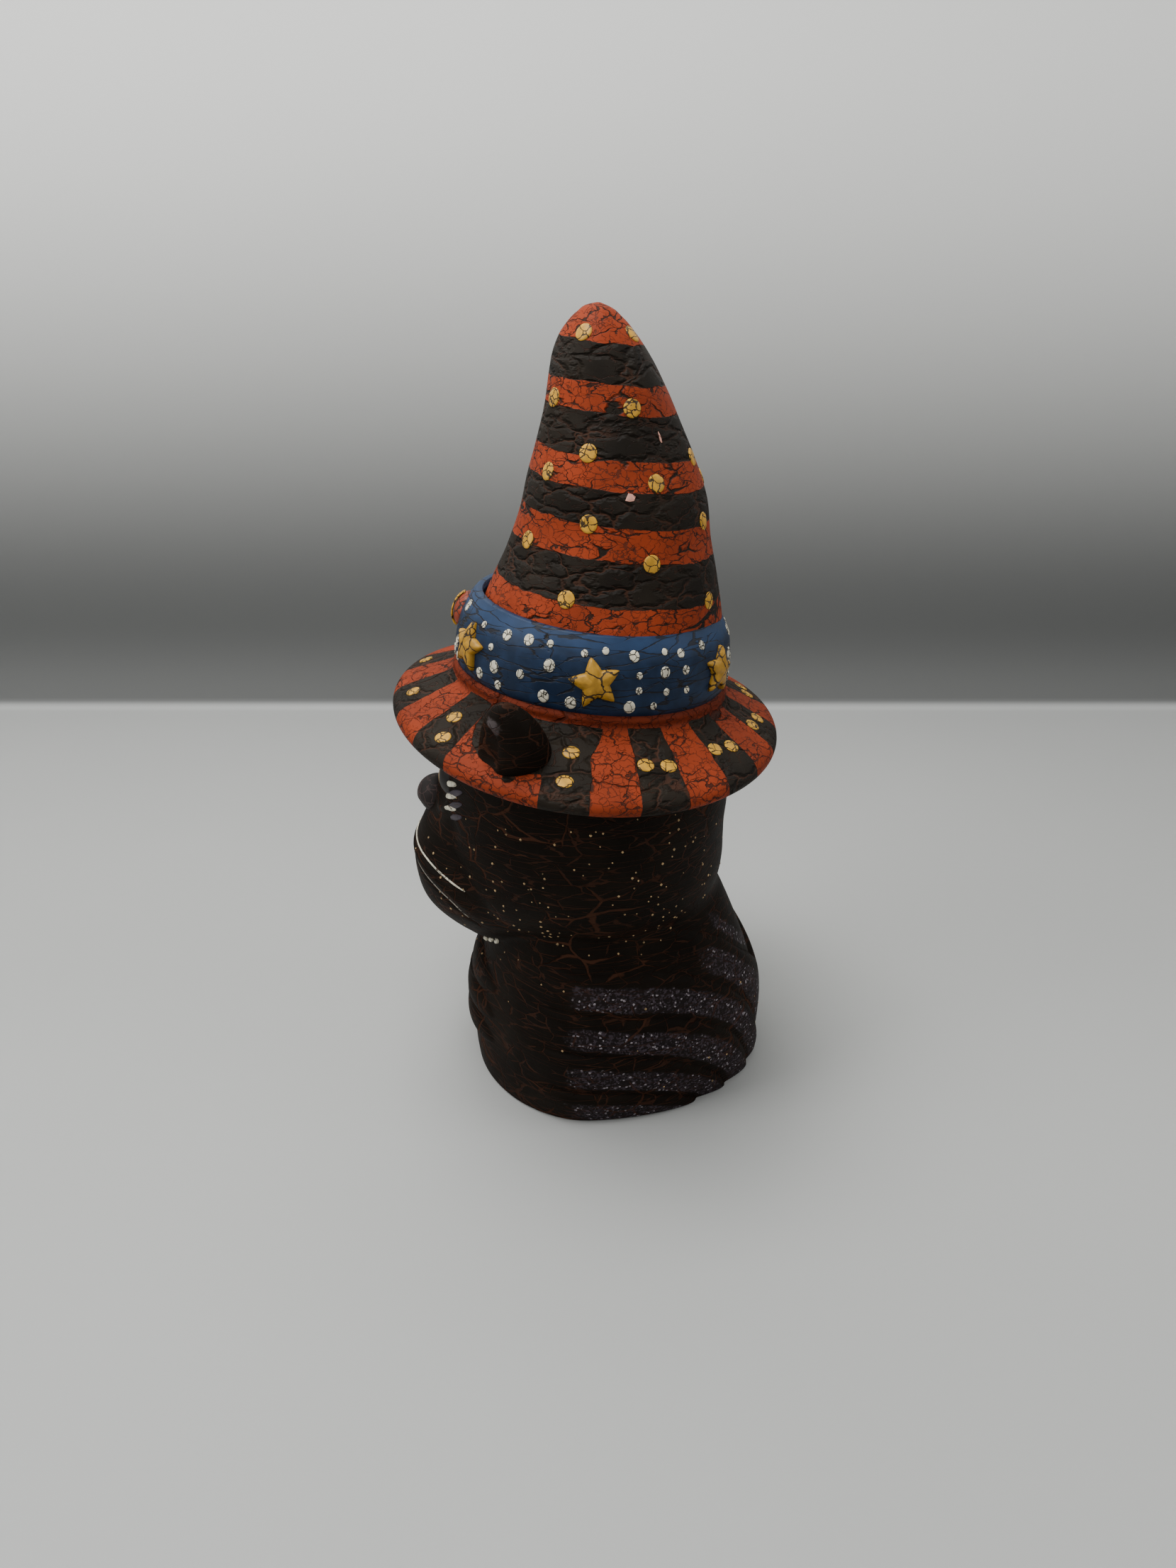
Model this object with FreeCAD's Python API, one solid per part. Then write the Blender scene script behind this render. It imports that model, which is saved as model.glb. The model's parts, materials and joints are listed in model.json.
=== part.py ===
"""Battery-driven table figure: a hollow cast cat bust whose witch's hat sways from side to side.

Millimetres. +Z is up, the figure faces -Y and stands on Z = 0. The hat, its drive and everything that turns
with it lean back with the hat, so they are drawn upright about the hat axis and then leaned by one placement.
"""
import FreeCAD, Part
import math
import os

from FreeCAD import Placement, Rotation, Vector

# ---- casting ---------------------------------------------------------------------------------------------
WALL = 4.0                  # thickness of the cast bust and hat
LEDGE_WIDTH = 7.0           # inner foot ledge that takes the base screws
LEDGE_HEIGHT = 8.0
BASE_SCREW_ANGLES = (24, 125, 235, 336)     # round the foot, from the front
FOOT_RECESS = 2.0           # how far the base plate sits above the table
BASE_PLATE_THICK = 3.0
FIT_GAP = 0.4               # loose fit of plates in the castings
SEAM_HEIGHT = 158.0         # where the hat axis meets the brim's underside
# share of the seam height, reach forwards, reach backwards, half width
BUST_SECTIONS = [
    (0.00, 49.0, 76.0, 56.0),
    (0.06, 50.5, 76.8, 58.5),
    (0.13, 51.5, 76.8, 60.0),
    (0.23, 51.5, 74.5, 60.0),
    (0.32, 49.0, 71.0, 58.0),
    (0.39, 49.5, 66.5, 55.5),
    (0.47, 59.0, 61.0, 52.5),
    (0.54, 67.0, 56.5, 51.5),
    (0.62, 70.5, 55.5, 56.0),
    (0.71, 68.0, 56.0, 60.5),
    (0.80, 62.0, 56.0, 62.0),
    (0.89, 59.0, 56.0, 61.0),
    (1.08, 58.0, 57.0, 60.0),
]
BUST_LEVEL_STEP = 0.045     # share of the seam height between the form's own levels
SECTION_POINTS = 28

# ---- hat -------------------------------------------------------------------------------------------------
HAT_LEAN = 6.0              # degrees, backwards
HAT_FORWARD = 1.0           # how far the hat axis stands forwards of the middle
SEAM_GAP = 0.8              # the hat turns this far above the head
BRIM_HALF_WIDTH = 84.0
BRIM_HALF_DEPTH = 75.0
BRIM_SEAT_RADIUS = 65.0     # flat part of the brim's underside, over the head
BRIM_EDGE_THICK = 9.0
BRIM_END_DROOP = 1.0        # how far the edge hangs at the front and back
BRIM_SIDE_DROOP = 4.0       # and at the sides
BRIM_CROWN_HEIGHT = 17.0    # height of the brim's top face where it meets the crown
CROWN_RADIUS = 50.0
CAVITY_RADIUS = 42.0
BAND_BOTTOM = 20.5
BAND_TOP = 49.0
BAND_RADIUS = 53.5
BAND_TOP_RADIUS = 46.5
CROWN_FOOT = 12.0           # the crown starts this far up, inside the brim
CROWN_HEIGHT = 137.0
# share of the crown's height, radius, shift forwards of the hat axis
CROWN_SECTIONS = [
    (0.00, 50.0, 0.0),
    (0.14, 48.5, -0.8),
    (0.28, 43.9, -2.2),
    (0.38, 38.9, -3.5),
    (0.47, 35.0, -2.7),
    (0.56, 33.0, -1.9),
    (0.66, 28.2, 0.0),
    (0.74, 23.8, 2.6),
    (0.83, 20.1, 5.4),
    (0.91, 15.0, 8.0),
    (0.965, 9.5, 9.9),
    (1.00, 2.5, 11.0),
]
CROWN_LEVEL_STEP = 0.05
STAR_COUNT = 6
STAR_RADIUS = 10.0
STAR_WAIST = 4.9
STAR_THICK = 3.0
STAR_HEIGHT = 34.0
STAR_SINK = 1.6             # how far a star is let into the band
BROOCH_RADIUS = 7.0
BROOCH_THICK = 5.0
BROOCH_HEIGHT = 40.0
BROOCH_SINK = 0.6
EAR_BASE = Vector(62.0, -24.5, 9.0)
EAR_HEIGHT = 26.0
EAR_HALF_WIDTH = 13.0
EAR_HALF_THICK = 11.0
EAR_SPLAY = 28.0            # degrees outwards

# ---- face ------------------------------------------------------------------------------------------------
NOSE_RADIUS = 8.5
NOSE_CENTRE = Vector(0, -61.5, 0.775 * SEAM_HEIGHT)
EYE_RADIUS = 9.5
EYE_CENTRE = Vector(15.0, -49.0, 0.875 * SEAM_HEIGHT)

# ---- hat drive -------------------------------------------------------------------------------------------
DECK_RADIUS = 50.0          # drive plate that closes the head
DECK_THICK = 3.0
DECK_OPENING = 40.0
NECK_RING_THICK = 10.0      # cast ring round the head's opening
GEAR_BAY = 16.0             # clear height between the two drive plates
GEAR_PLATE_RADIUS = 38.0
GEAR_PLATE_THICK = 2.5
PILLAR_RADIUS = 3.0
PILLAR_CIRCLE = 33.5
PILLAR_ANGLES = (95.0, 185.0, 275.0, 325.0)
SPINDLE_RADIUS = 4.0
JOURNAL_RADIUS = SPINDLE_RADIUS - 1.0
SPINDLE_FLAT = SPINDLE_RADIUS - 1.0         # distance of the D flat from the axis
RUNNING_CLEARANCE = 0.05
PRESS_CLEARANCE = 0.02
BUSH_RADIUS = SPINDLE_RADIUS + 2.0
BUSH_FLANGE_RADIUS = BUSH_RADIUS + 2.0
BUSH_FLANGE_THICK = 1.2
WASHER_RADIUS = SPINDLE_RADIUS + 3.5
HAT_PLATE_RADIUS = 48.0
HAT_PLATE_THICK = 3.0
HUB_RADIUS = SPINDLE_RADIUS + 4.0
HUB_HEIGHT = 16.0
HAT_RIB_COUNT = 6
HAT_RIB_THICK = 2.0
HAT_RIB_HEIGHT = 5.0
HAT_RIB_END = 8.0           # the ribs stop this far short of the disc's edge
CLIP_RADIUS = JOURNAL_RADIUS + 2.5
CLIP_THICK = 0.8
CLIP_GROOVE_RADIUS = JOURNAL_RADIUS - 0.6
SPINDLE_TAIL = 3.0          # of the journal below the gear plate

MODULE = 0.7
PRESSURE_ANGLE = 20.0
ADDENDUM = 0.85             # in modules; stub teeth
DEDENDUM = 1.25
BACKLASH = 0.18
PINION_TEETH = 12
WHEEL_TEETH = 42
OUTPUT_TEETH = 48
GEAR_FACE = 4.0
LAYER_GAP = 0.6
IDLER_ANGLE = 0.0           # from the spindle to the second wheel
FIRST_WHEEL_ANGLE = 120.0   # from the second wheel to the first
MOTOR_ANGLE = 180.0         # from the first wheel to the motor
PIN_RADIUS = 1.5
GEAR_HUB_RADIUS = 2.6

MOTOR_RADIUS = 12.0
MOTOR_LENGTH = 28.0
MOTOR_CAP_LENGTH = 4.0
MOTOR_BOSS_RADIUS = 3.0
MOTOR_BOSS_HEIGHT = 1.5
MOTOR_SHAFT_RADIUS = 1.0
MOTOR_SCREW_OFFSET = 8.0
TERMINAL_OFFSET = 6.0
TERMINAL_LENGTH = 3.0       # of each tab below the end cap
TERMINAL_SECTION = (0.5, 2.4)

# ---- screws: shank radius, head radius, head height ------------------------------------------------------
SCREW_M3 = (1.5, 2.8, 1.6)
SCREW_M2 = (1.0, 1.9, 1.2)
DECK_SCREW_LENGTH = 7.0
BASE_SCREW_LENGTH = 8.0
MOTOR_SCREW_LENGTH = 5.5
BOARD_SCREW_LENGTH = 4.4
DOOR_SCREW_LENGTH = 3.6
PILOT_DEPTH = 6.0           # of the holes cast for the deck and base screws
HOLE_CLEARANCE = 0.2
PILOT_CLEARANCE = 0.02

# ---- base unit -------------------------------------------------------------------------------------------
CELL_RADIUS = 7.1
CELL_LENGTH = 49.0
CELL_NUB = (2.7, 1.4)
CELL_COUNT = 3
CELL_PITCH = 2 * CELL_RADIUS + 0.6
CELL_LIFT = 0.3             # between a cell and the door under it
CONTACT_ROOM = 9.0          # the tub is this much longer than a cell, for the contacts
TUB_LENGTH = CELL_LENGTH + CONTACT_ROOM
TUB_WIDTH = CELL_COUNT * CELL_PITCH + 0.8
TUB_WALL = 1.6
TUB_CENTRE_Y = -4.0
DOOR_THICK = 1.6
DOOR_LIP = 1.5
DOOR_GAP = 0.3
DOOR_PIN_RADIUS = 1.2
DOOR_PIVOT_RADIUS = 0.7     # thin ends of the hinge pin
DOOR_PIVOT_LENGTH = 3.0
DOOR_TAB_WIDTH = 8.0
DOOR_TAB_END = 3.4          # of the tab beyond its screw
DOOR_SCREW_OFFSET = 3.6     # of the screw beyond the door's edge
CONTACT_THICK = 0.5
SPRING_RADIUS = 3.6
SPRING_WIRE = 0.35
SPRING_TURNS = 2.5
SPRING_TIP_RADIUS = 2.8
CONTACT_GAP = 0.05
SPEAKER_RADIUS = 17.0
SPEAKER_BASKET_HEIGHT = 6.5
SPEAKER_MAGNET_RADIUS = 9.0
SPEAKER_MAGNET_HEIGHT = 6.0
SPEAKER_RING = 2.0          # wall of the ring that locates the speaker
SPEAKER_Y = TUB_CENTRE_Y + TUB_WIDTH / 2 + TUB_WALL + SPEAKER_RING + SPEAKER_RADIUS + 3.8
GRILLE_HOLE = 1.2
GRILLE_RINGS = ((0.0, 1), (5.0, 6), (10.0, 12))
SWITCH_X = TUB_LENGTH / 2 + TUB_WALL + 7.0
SWITCH_Y = TUB_CENTRE_Y + 8.0
SWITCH_SIZE = (6.0, 14.0, 5.0)
SWITCH_TRAVEL = 4.0
KNOB_SIZE = (3.0, 3.6)
BOARD_SIZE = (50.0, 38.0, 1.6)
BOARD_STANDOFF = 3.0
SOCKET_X = 18.0
SOCKET_HEIGHT = 4.0
POST_RADIUS = 2.8
LEAD_RADIUS = 0.7

FOOT_TOP = FOOT_RECESS + BASE_PLATE_THICK
HAT_FRAME = Placement(Vector(0, -HAT_FORWARD, SEAM_HEIGHT), Rotation(Vector(1, 0, 0), -HAT_LEAN))
DECK_TOP = -SEAM_GAP
DECK_BOTTOM = DECK_TOP - DECK_THICK
GEAR_PLATE_TOP = DECK_BOTTOM - GEAR_BAY
GEAR_PLATE_BOTTOM = GEAR_PLATE_TOP - GEAR_PLATE_THICK
Z = Vector(0, 0, 1)
AMPLE = 400.0               # longer than the whole figure, for blocks that divide a form


# ---- helpers ---------------------------------------------------------------------------------------------
def cylinder(radius, low, high, x=0.0, y=0.0):
    return Part.makeCylinder(radius, high - low, Vector(x, y, low))


def block(size_x, size_y, low, high, x=0.0, y=0.0):
    return Part.makeBox(size_x, size_y, high - low, Vector(x - size_x / 2, y - size_y / 2, low))


def on_circle(radius, degrees):
    angle = math.radians(degrees)
    return Vector(radius * math.cos(angle), radius * math.sin(angle), 0)


def leaned(shape):
    """A piece drawn upright about the hat axis, put where it belongs."""
    placed = shape.copy()
    placed.Placement = HAT_FRAME.multiply(placed.Placement)
    return placed


def save(name, *solids):
    shape = solids[0] if len(solids) == 1 else Part.makeCompound(list(solids))
    shape.exportStep(os.path.join("parts", name + ".step"))


def smooth_loop(points):
    curve = Part.BSplineCurve()
    curve.interpolate(Points=points, PeriodicFlag=True)
    return Part.Wire([curve.toShape()])


def between(rows, at):
    """The columns of a table of sections at one share of its height, by a smooth cubic between its rows."""
    i = max(k for k in range(len(rows) - 1) if rows[k][0] <= at or k == 0)
    (x0, *low), (x1, *high) = rows[i], rows[i + 1]
    (xa, *before), (xb, *after) = rows[max(i - 1, 0)], rows[min(i + 2, len(rows) - 1)]
    t = (at - x0) / (x1 - x0)
    blend = (2 * t**3 - 3 * t**2 + 1, t**3 - 2 * t**2 + t, 3 * t**2 - 2 * t**3, t**3 - t**2)
    values = []
    for a, p, q, b in zip(before, low, high, after):
        slope_in = (q - a) / (x1 - xa) * (x1 - x0)
        slope_out = (b - p) / (xb - x0) * (x1 - x0)
        values.append(blend[0] * p + blend[1] * slope_in + blend[2] * q + blend[3] * slope_out)
    return values


def levels(rows, step):
    """Evenly spaced shares of the height, from the table's first row to its last."""
    first, last = rows[0][0], rows[-1][0]
    count = round((last - first) / step)
    return [first + (last - first) * i / count for i in range(count + 1)]


def bust_loop(share, inset, z=None):
    front, back, half = between(BUST_SECTIONS, share)
    points = []
    for i in range(SECTION_POINTS):
        turn = 2 * math.pi * i / SECTION_POINTS
        reach = front if math.cos(turn) > 0 else back
        points.append(Vector((half - inset) * math.sin(turn), -(reach - inset) * math.cos(turn),
                             share * SEAM_HEIGHT if z is None else z))
    return smooth_loop(points)


def bust_solid(inset):
    """The bust's outer form, or the cavity that lies inset inside it."""
    loops = [bust_loop(share, inset) for share in levels(BUST_SECTIONS, BUST_LEVEL_STEP)]
    return Part.makeLoft(loops, True, True)


def foot_prism(inset, low, high):
    """An upright prism on the bust's foot outline."""
    face = Part.Face(bust_loop(0.0, inset, low))
    return face.extrude(Vector(0, 0, high - low))


def below_hat_plane(height):
    """A large block that holds all that lies below this height on the hat axis."""
    return leaned(block(AMPLE, AMPLE, height - AMPLE, height))


def screw(size, length, x, y, head_under, up=True):
    """A pan-head screw. The head's bearing face is at head_under, and the shank runs up or down from it."""
    shank, head, head_height = size
    if up:
        return cylinder(shank, head_under, head_under + length, x, y).fuse(
            cylinder(head, head_under - head_height, head_under, x, y)).removeSplitter()
    return cylinder(shank, head_under - length, head_under, x, y).fuse(
        cylinder(head, head_under, head_under + head_height, x, y)).removeSplitter()


def lead(points, radius):
    """An insulated wire along straight runs joined by tangent arcs."""
    edges, start = [], points[0]
    for i in range(1, len(points) - 1):
        before, corner, after = points[i - 1], points[i], points[i + 1]
        inward, outward = (before - corner), (after - corner)
        shorter = min(inward.Length, outward.Length)
        inward.normalize()
        outward.normalize()
        bend = math.pi - inward.getAngle(outward)
        cut = 0.45 * shorter
        arc_in, arc_out = corner + inward * cut, corner + outward * cut
        bend_radius = cut / math.tan(bend / 2)
        middle_dir = (inward + outward).normalize()
        centre = corner + middle_dir * (bend_radius / math.cos(bend / 2))
        middle = centre - middle_dir * bend_radius
        edges += [Part.LineSegment(start, arc_in).toShape(), Part.Arc(arc_in, middle, arc_out).toShape()]
        start = arc_out
    edges.append(Part.LineSegment(start, points[-1]).toShape())
    path = Part.Wire(edges)
    along = (points[1] - points[0]).normalize()
    ring = Part.Wire([Part.Circle(points[0], along, radius).toShape()])
    tube = path.makePipeShell([ring], True, True)
    return tube


# ---- gears -----------------------------------------------------------------------------------------------
def gear_outline(teeth):
    """Points of one involute gear, with stub teeth thinned by half the backlash."""
    pitch = MODULE * teeth / 2
    base = pitch * math.cos(math.radians(PRESSURE_ANGLE))
    tip, root = pitch + ADDENDUM * MODULE, pitch - DEDENDUM * MODULE
    involute = math.tan(math.radians(PRESSURE_ANGLE)) - math.radians(PRESSURE_ANGLE)
    half_tooth = math.pi / (2 * teeth) - BACKLASH / (4 * pitch)

    def half_angle(radius):
        if radius <= base:
            return half_tooth + involute
        turn = math.acos(base / radius)
        return half_tooth + involute - (math.tan(turn) - turn)

    flank_start = max(root + 0.15 * MODULE, base)
    radii = [root] + [flank_start + (tip - flank_start) * k / 4 for k in range(5)]
    points = []
    for i in range(teeth):
        centre = 2 * math.pi * i / teeth
        left = [(r, centre - half_angle(r)) for r in radii]
        right = [(r, centre + half_angle(r)) for r in reversed(radii)]
        points += [Vector(r * math.cos(a), r * math.sin(a), 0) for r, a in left + right]
    return points


def gear(teeth, low, high, turn=0.0):
    points = gear_outline(teeth)
    face = Part.Face(Part.makePolygon(points + points[:1]))
    solid = face.extrude(Vector(0, 0, high - low))
    solid.rotate(Vector(0, 0, 0), Z, turn)
    solid.translate(Vector(0, 0, low))
    return solid


def mesh_turn(teeth, driver_teeth, driver_turn, direction):
    """Turn that puts this gear in mesh with one that lies back along direction, degrees."""
    driver_phase = (direction - driver_turn) * driver_teeth / 360.0
    return direction + 180.0 + (driver_phase + 0.5) * 360.0 / teeth


PINION_WHEEL = MODULE * (PINION_TEETH + WHEEL_TEETH) / 2
PINION_OUTPUT = MODULE * (PINION_TEETH + OUTPUT_TEETH) / 2
SECOND_AXIS = on_circle(PINION_OUTPUT, IDLER_ANGLE)
FIRST_AXIS = SECOND_AXIS + on_circle(PINION_WHEEL, FIRST_WHEEL_ANGLE)
MOTOR_AXIS = FIRST_AXIS + on_circle(PINION_WHEEL, MOTOR_ANGLE)
LAYERS = [GEAR_PLATE_TOP + LAYER_GAP + i * (GEAR_FACE + LAYER_GAP) for i in range(3)]
# turns that put the train in mesh at rest, worked from the spindle towards the motor
SECOND_TURN = mesh_turn(PINION_TEETH, OUTPUT_TEETH, 0.0, IDLER_ANGLE)
FIRST_TURN = mesh_turn(PINION_TEETH, WHEEL_TEETH, SECOND_TURN, FIRST_WHEEL_ANGLE)
MOTOR_TURN = mesh_turn(PINION_TEETH, WHEEL_TEETH, FIRST_TURN, MOTOR_ANGLE)


def compound_gear(wheel_layer, axis, turn):
    """A wheel with its pinion on top, free on a fixed pin."""
    low, middle = LAYERS[wheel_layer], LAYERS[wheel_layer + 1]
    solid = gear(WHEEL_TEETH, low, low + GEAR_FACE, turn)
    solid = solid.fuse(gear(PINION_TEETH, low + GEAR_FACE, middle + GEAR_FACE, turn))
    solid = solid.cut(cylinder(PIN_RADIUS + RUNNING_CLEARANCE, low - 1, middle + GEAR_FACE + 1))
    solid.translate(axis)
    return leaned(solid)


def output_gear():
    low = LAYERS[2]
    bore = cylinder(SPINDLE_RADIUS + PRESS_CLEARANCE, low - 1, low + GEAR_FACE + 1)
    return leaned(gear(OUTPUT_TEETH, low, low + GEAR_FACE).cut(bore))


def motor_pinion():
    low = LAYERS[0]
    solid = gear(PINION_TEETH, low, low + GEAR_FACE, MOTOR_TURN)
    solid = solid.cut(cylinder(MOTOR_SHAFT_RADIUS + PRESS_CLEARANCE, low - 1, low + GEAR_FACE + 1))
    solid.translate(MOTOR_AXIS)
    return leaned(solid)


# ---- castings --------------------------------------------------------------------------------------------
def deck_screw_places():
    circle = (DECK_OPENING + DECK_RADIUS) / 2
    return [on_circle(circle, 45 + 90 * i) for i in range(4)]


def base_screw_places():
    """Four places in the middle of the foot ledge."""
    _, front, back, half = BUST_SECTIONS[0]
    inset = WALL + LEDGE_WIDTH / 2
    places = []
    for degrees in BASE_SCREW_ANGLES:
        turn = math.radians(degrees)
        reach = front if math.cos(turn) > 0 else back
        places.append(Vector((half - inset) * math.sin(turn), -(reach - inset) * math.cos(turn), 0))
    return places


def bust():
    shell = bust_solid(0.0).common(below_hat_plane(DECK_TOP))
    cavity = bust_solid(WALL).common(below_hat_plane(DECK_TOP - NECK_RING_THICK))
    ledge_top = FOOT_TOP + LEDGE_HEIGHT
    cavity = cavity.common(block(AMPLE, AMPLE, ledge_top, AMPLE))
    shell = shell.cut(cavity)
    shell = shell.cut(foot_prism(WALL, -1, FOOT_TOP))
    shell = shell.cut(foot_prism(WALL + LEDGE_WIDTH, FOOT_TOP - 1, ledge_top + 1))
    shell = shell.cut(tub_block(TUB_WALL + FIT_GAP, FOOT_TOP - 1, ledge_top + 1))
    speaker_room = SPEAKER_RADIUS + SPEAKER_RING + FIT_GAP
    shell = shell.cut(cylinder(speaker_room, FOOT_TOP - 1, ledge_top + 1, 0, SPEAKER_Y))
    switch_room = [side + 2 * FIT_GAP for side in SWITCH_SIZE[:2]]
    shell = shell.cut(block(*switch_room, FOOT_TOP - 1, ledge_top + 1, SWITCH_X, SWITCH_Y))
    shell = shell.cut(leaned(cylinder(DECK_OPENING, DECK_TOP - NECK_RING_THICK - 8, 1)))
    shell = shell.cut(leaned(cylinder(DECK_RADIUS + FIT_GAP, DECK_BOTTOM, 1)))
    pilot = SCREW_M3[0] + PILOT_CLEARANCE
    for place in deck_screw_places():
        hole = cylinder(pilot, DECK_BOTTOM - PILOT_DEPTH, DECK_BOTTOM + 1, place.x, place.y)
        shell = shell.cut(leaned(hole))
    for place in base_screw_places():
        shell = shell.cut(cylinder(pilot, FOOT_TOP - 1, FOOT_TOP + PILOT_DEPTH, place.x, place.y))
    return shell


def oval(half_x, half_y, z, shift=0.0):
    points = [Vector(half_x * math.sin(2 * math.pi * i / SECTION_POINTS),
                     shift - half_y * math.cos(2 * math.pi * i / SECTION_POINTS), z)
              for i in range(SECTION_POINTS)]
    return smooth_loop(points)


def brim_loop(inset, height, curl):
    """A loop of the oval brim. Its edge hangs by the curl's share, and most at the sides."""
    points = []
    for i in range(SECTION_POINTS):
        turn = 2 * math.pi * i / SECTION_POINTS
        droop = BRIM_END_DROOP * math.cos(turn)**2 + BRIM_SIDE_DROOP * math.sin(turn)**2
        x, y = (BRIM_HALF_WIDTH - inset) * math.sin(turn), -(BRIM_HALF_DEPTH - inset) * math.cos(turn)
        points.append(Vector(x, y, height - curl * droop))
    return smooth_loop(points)


def brim_solid():
    """A solid oval brim that rises to the crown."""
    edge = BRIM_EDGE_THICK
    rows = [(4.5, 0.1 * edge), (1.4, 0.2 * edge), (0.0, 0.5 * edge), (1.4, 0.84 * edge), (4.5, edge)]
    loops = [oval(BRIM_SEAT_RADIUS, BRIM_SEAT_RADIUS, 0.0)]
    loops += [brim_loop(inset, z, 1.0) for inset, z in rows]
    loops.append(brim_loop(14.0, 0.5 * (edge + BRIM_CROWN_HEIGHT), 0.6))
    loops.append(oval(BAND_RADIUS, BAND_RADIUS, BRIM_CROWN_HEIGHT))
    return Part.makeLoft(loops, True, True)


def crown_solid(inset):
    loops = []
    for share in levels(CROWN_SECTIONS, CROWN_LEVEL_STEP):
        radius, shift = between(CROWN_SECTIONS, share)
        if radius - inset > 1.5:
            loops.append(oval(radius - inset, radius - inset, CROWN_FOOT + share * CROWN_HEIGHT, -shift))
    return Part.makeLoft(loops, True, True)


def hat():
    shell = brim_solid().fuse(crown_solid(0.0))
    shell = shell.cut(crown_solid(WALL))
    shell = shell.cut(cylinder(CAVITY_RADIUS, -1, CROWN_FOOT + WALL))
    shell = shell.cut(cylinder(HAT_PLATE_RADIUS + FIT_GAP, -1, HAT_PLATE_THICK))
    return shell


def band():
    """The raised ribbon round the foot of the crown."""
    rise = BAND_TOP - BAND_BOTTOM
    outline = [(CROWN_RADIUS - 6, 0.0), (BAND_RADIUS - 2.5, 0.0), (BAND_RADIUS, 0.12 * rise),
               (BAND_RADIUS, 0.3 * rise), (BAND_RADIUS - 2.2, 0.72 * rise),
               (BAND_TOP_RADIUS + 1.5, 0.97 * rise), (BAND_TOP_RADIUS - 1.0, rise), (CROWN_RADIUS - 9, rise)]
    points = [Vector(r, 0, BAND_BOTTOM + z) for r, z in outline]
    face = Part.Face(Part.makePolygon(points + points[:1]))
    return face.revolve(Vector(0, 0, 0), Z, 360)


def star():
    """One five-pointed star, lying flat with its face up."""
    points = []
    for i in range(10):
        radius = STAR_RADIUS if i % 2 == 0 else STAR_WAIST
        points.append(on_circle(radius, 90 + 36 * i))
    return Part.Face(Part.makePolygon(points + points[:1])).extrude(Vector(0, 0, STAR_THICK))


def on_band(piece, degrees, height, sink):
    """Stands a flat piece against the band, facing outwards. 0 degrees is the figure's left side."""
    share = (height - BAND_BOTTOM) / (BAND_TOP - BAND_BOTTOM)
    radius = BAND_RADIUS - 2.2 * max(0.0, (share - 0.3) / 0.42) - sink
    place = Placement(Vector(radius, 0, height), Rotation(Vector(0, 1, 0), 90).multiply(
        Rotation(Vector(0, 0, 1), 90)))
    spin = Placement(Vector(0, 0, 0), Rotation(Z, degrees))
    piece.Placement = spin.multiply(place).multiply(piece.Placement)
    return piece


def stars(band_solid):
    return [leaned(on_band(star(), i * 360.0 / STAR_COUNT, STAR_HEIGHT, STAR_SINK).cut(band_solid))
            for i in range(STAR_COUNT)]


def brooch(band_solid):
    """A domed button at the front of the band."""
    dome = Part.makeSphere(BROOCH_RADIUS)
    flatten = FreeCAD.Matrix()
    flatten.scale(1.0, 1.0, BROOCH_THICK / BROOCH_RADIUS)
    dome = dome.transformGeometry(flatten)
    return leaned(on_band(dome, -90.0, BROOCH_HEIGHT, BROOCH_SINK).cut(band_solid).cut(crown_solid(0.0)))


def ear(side, brim, band_solid):
    rows = [(-4.0, 1.0), (3.0, 1.0), (0.43 * EAR_HEIGHT, 0.86), (0.71 * EAR_HEIGHT, 0.6),
            (0.9 * EAR_HEIGHT, 0.34), (EAR_HEIGHT, 0.12)]
    loops = [oval(EAR_HALF_THICK * k, EAR_HALF_WIDTH * k, z) for z, k in rows]
    solid = Part.makeLoft(loops, True, True)
    solid.rotate(Vector(0, 0, 0), Vector(0, 1, 0), side * EAR_SPLAY)
    solid.translate(Vector(side * EAR_BASE.x, EAR_BASE.y, EAR_BASE.z))
    return leaned(solid.cut(brim).cut(band_solid))


def nose(bust_shape):
    return Part.makeSphere(NOSE_RADIUS, NOSE_CENTRE).cut(bust_shape)


def eye(side, bust_shape):
    centre = Vector(side * EYE_CENTRE.x, EYE_CENTRE.y, EYE_CENTRE.z)
    return Part.makeSphere(EYE_RADIUS, centre).cut(bust_shape)


# ---- hat drive -------------------------------------------------------------------------------------------
def deck():
    """The plate that closes the head and carries the drive."""
    plate = cylinder(DECK_RADIUS, DECK_BOTTOM, DECK_TOP)
    plate = plate.cut(cylinder(BUSH_RADIUS + PRESS_CLEARANCE, DECK_BOTTOM - 1, DECK_TOP + 1))
    head = SCREW_M3[1] + HOLE_CLEARANCE
    low, high = DECK_BOTTOM - 1, DECK_TOP + 1
    for place in deck_screw_places():
        plate = plate.cut(cylinder(SCREW_M3[0] + HOLE_CLEARANCE, low, high, place.x, place.y))
        plate = plate.cut(cylinder(head, DECK_TOP - SCREW_M3[2], high, place.x, place.y))
    for axis in (FIRST_AXIS, SECOND_AXIS):
        plate = plate.cut(cylinder(PIN_RADIUS + PRESS_CLEARANCE, low, high, axis.x, axis.y))
    pilot = SCREW_M2[0] + PILOT_CLEARANCE
    for degrees in PILLAR_ANGLES:
        place = on_circle(PILLAR_CIRCLE, degrees)
        plate = plate.cut(cylinder(pilot, low, high, place.x, place.y))
    return leaned(plate)


def deck_screws():
    return [leaned(screw(SCREW_M3, DECK_SCREW_LENGTH, p.x, p.y, DECK_TOP - SCREW_M3[2], up=False))
            for p in deck_screw_places()]


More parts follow.
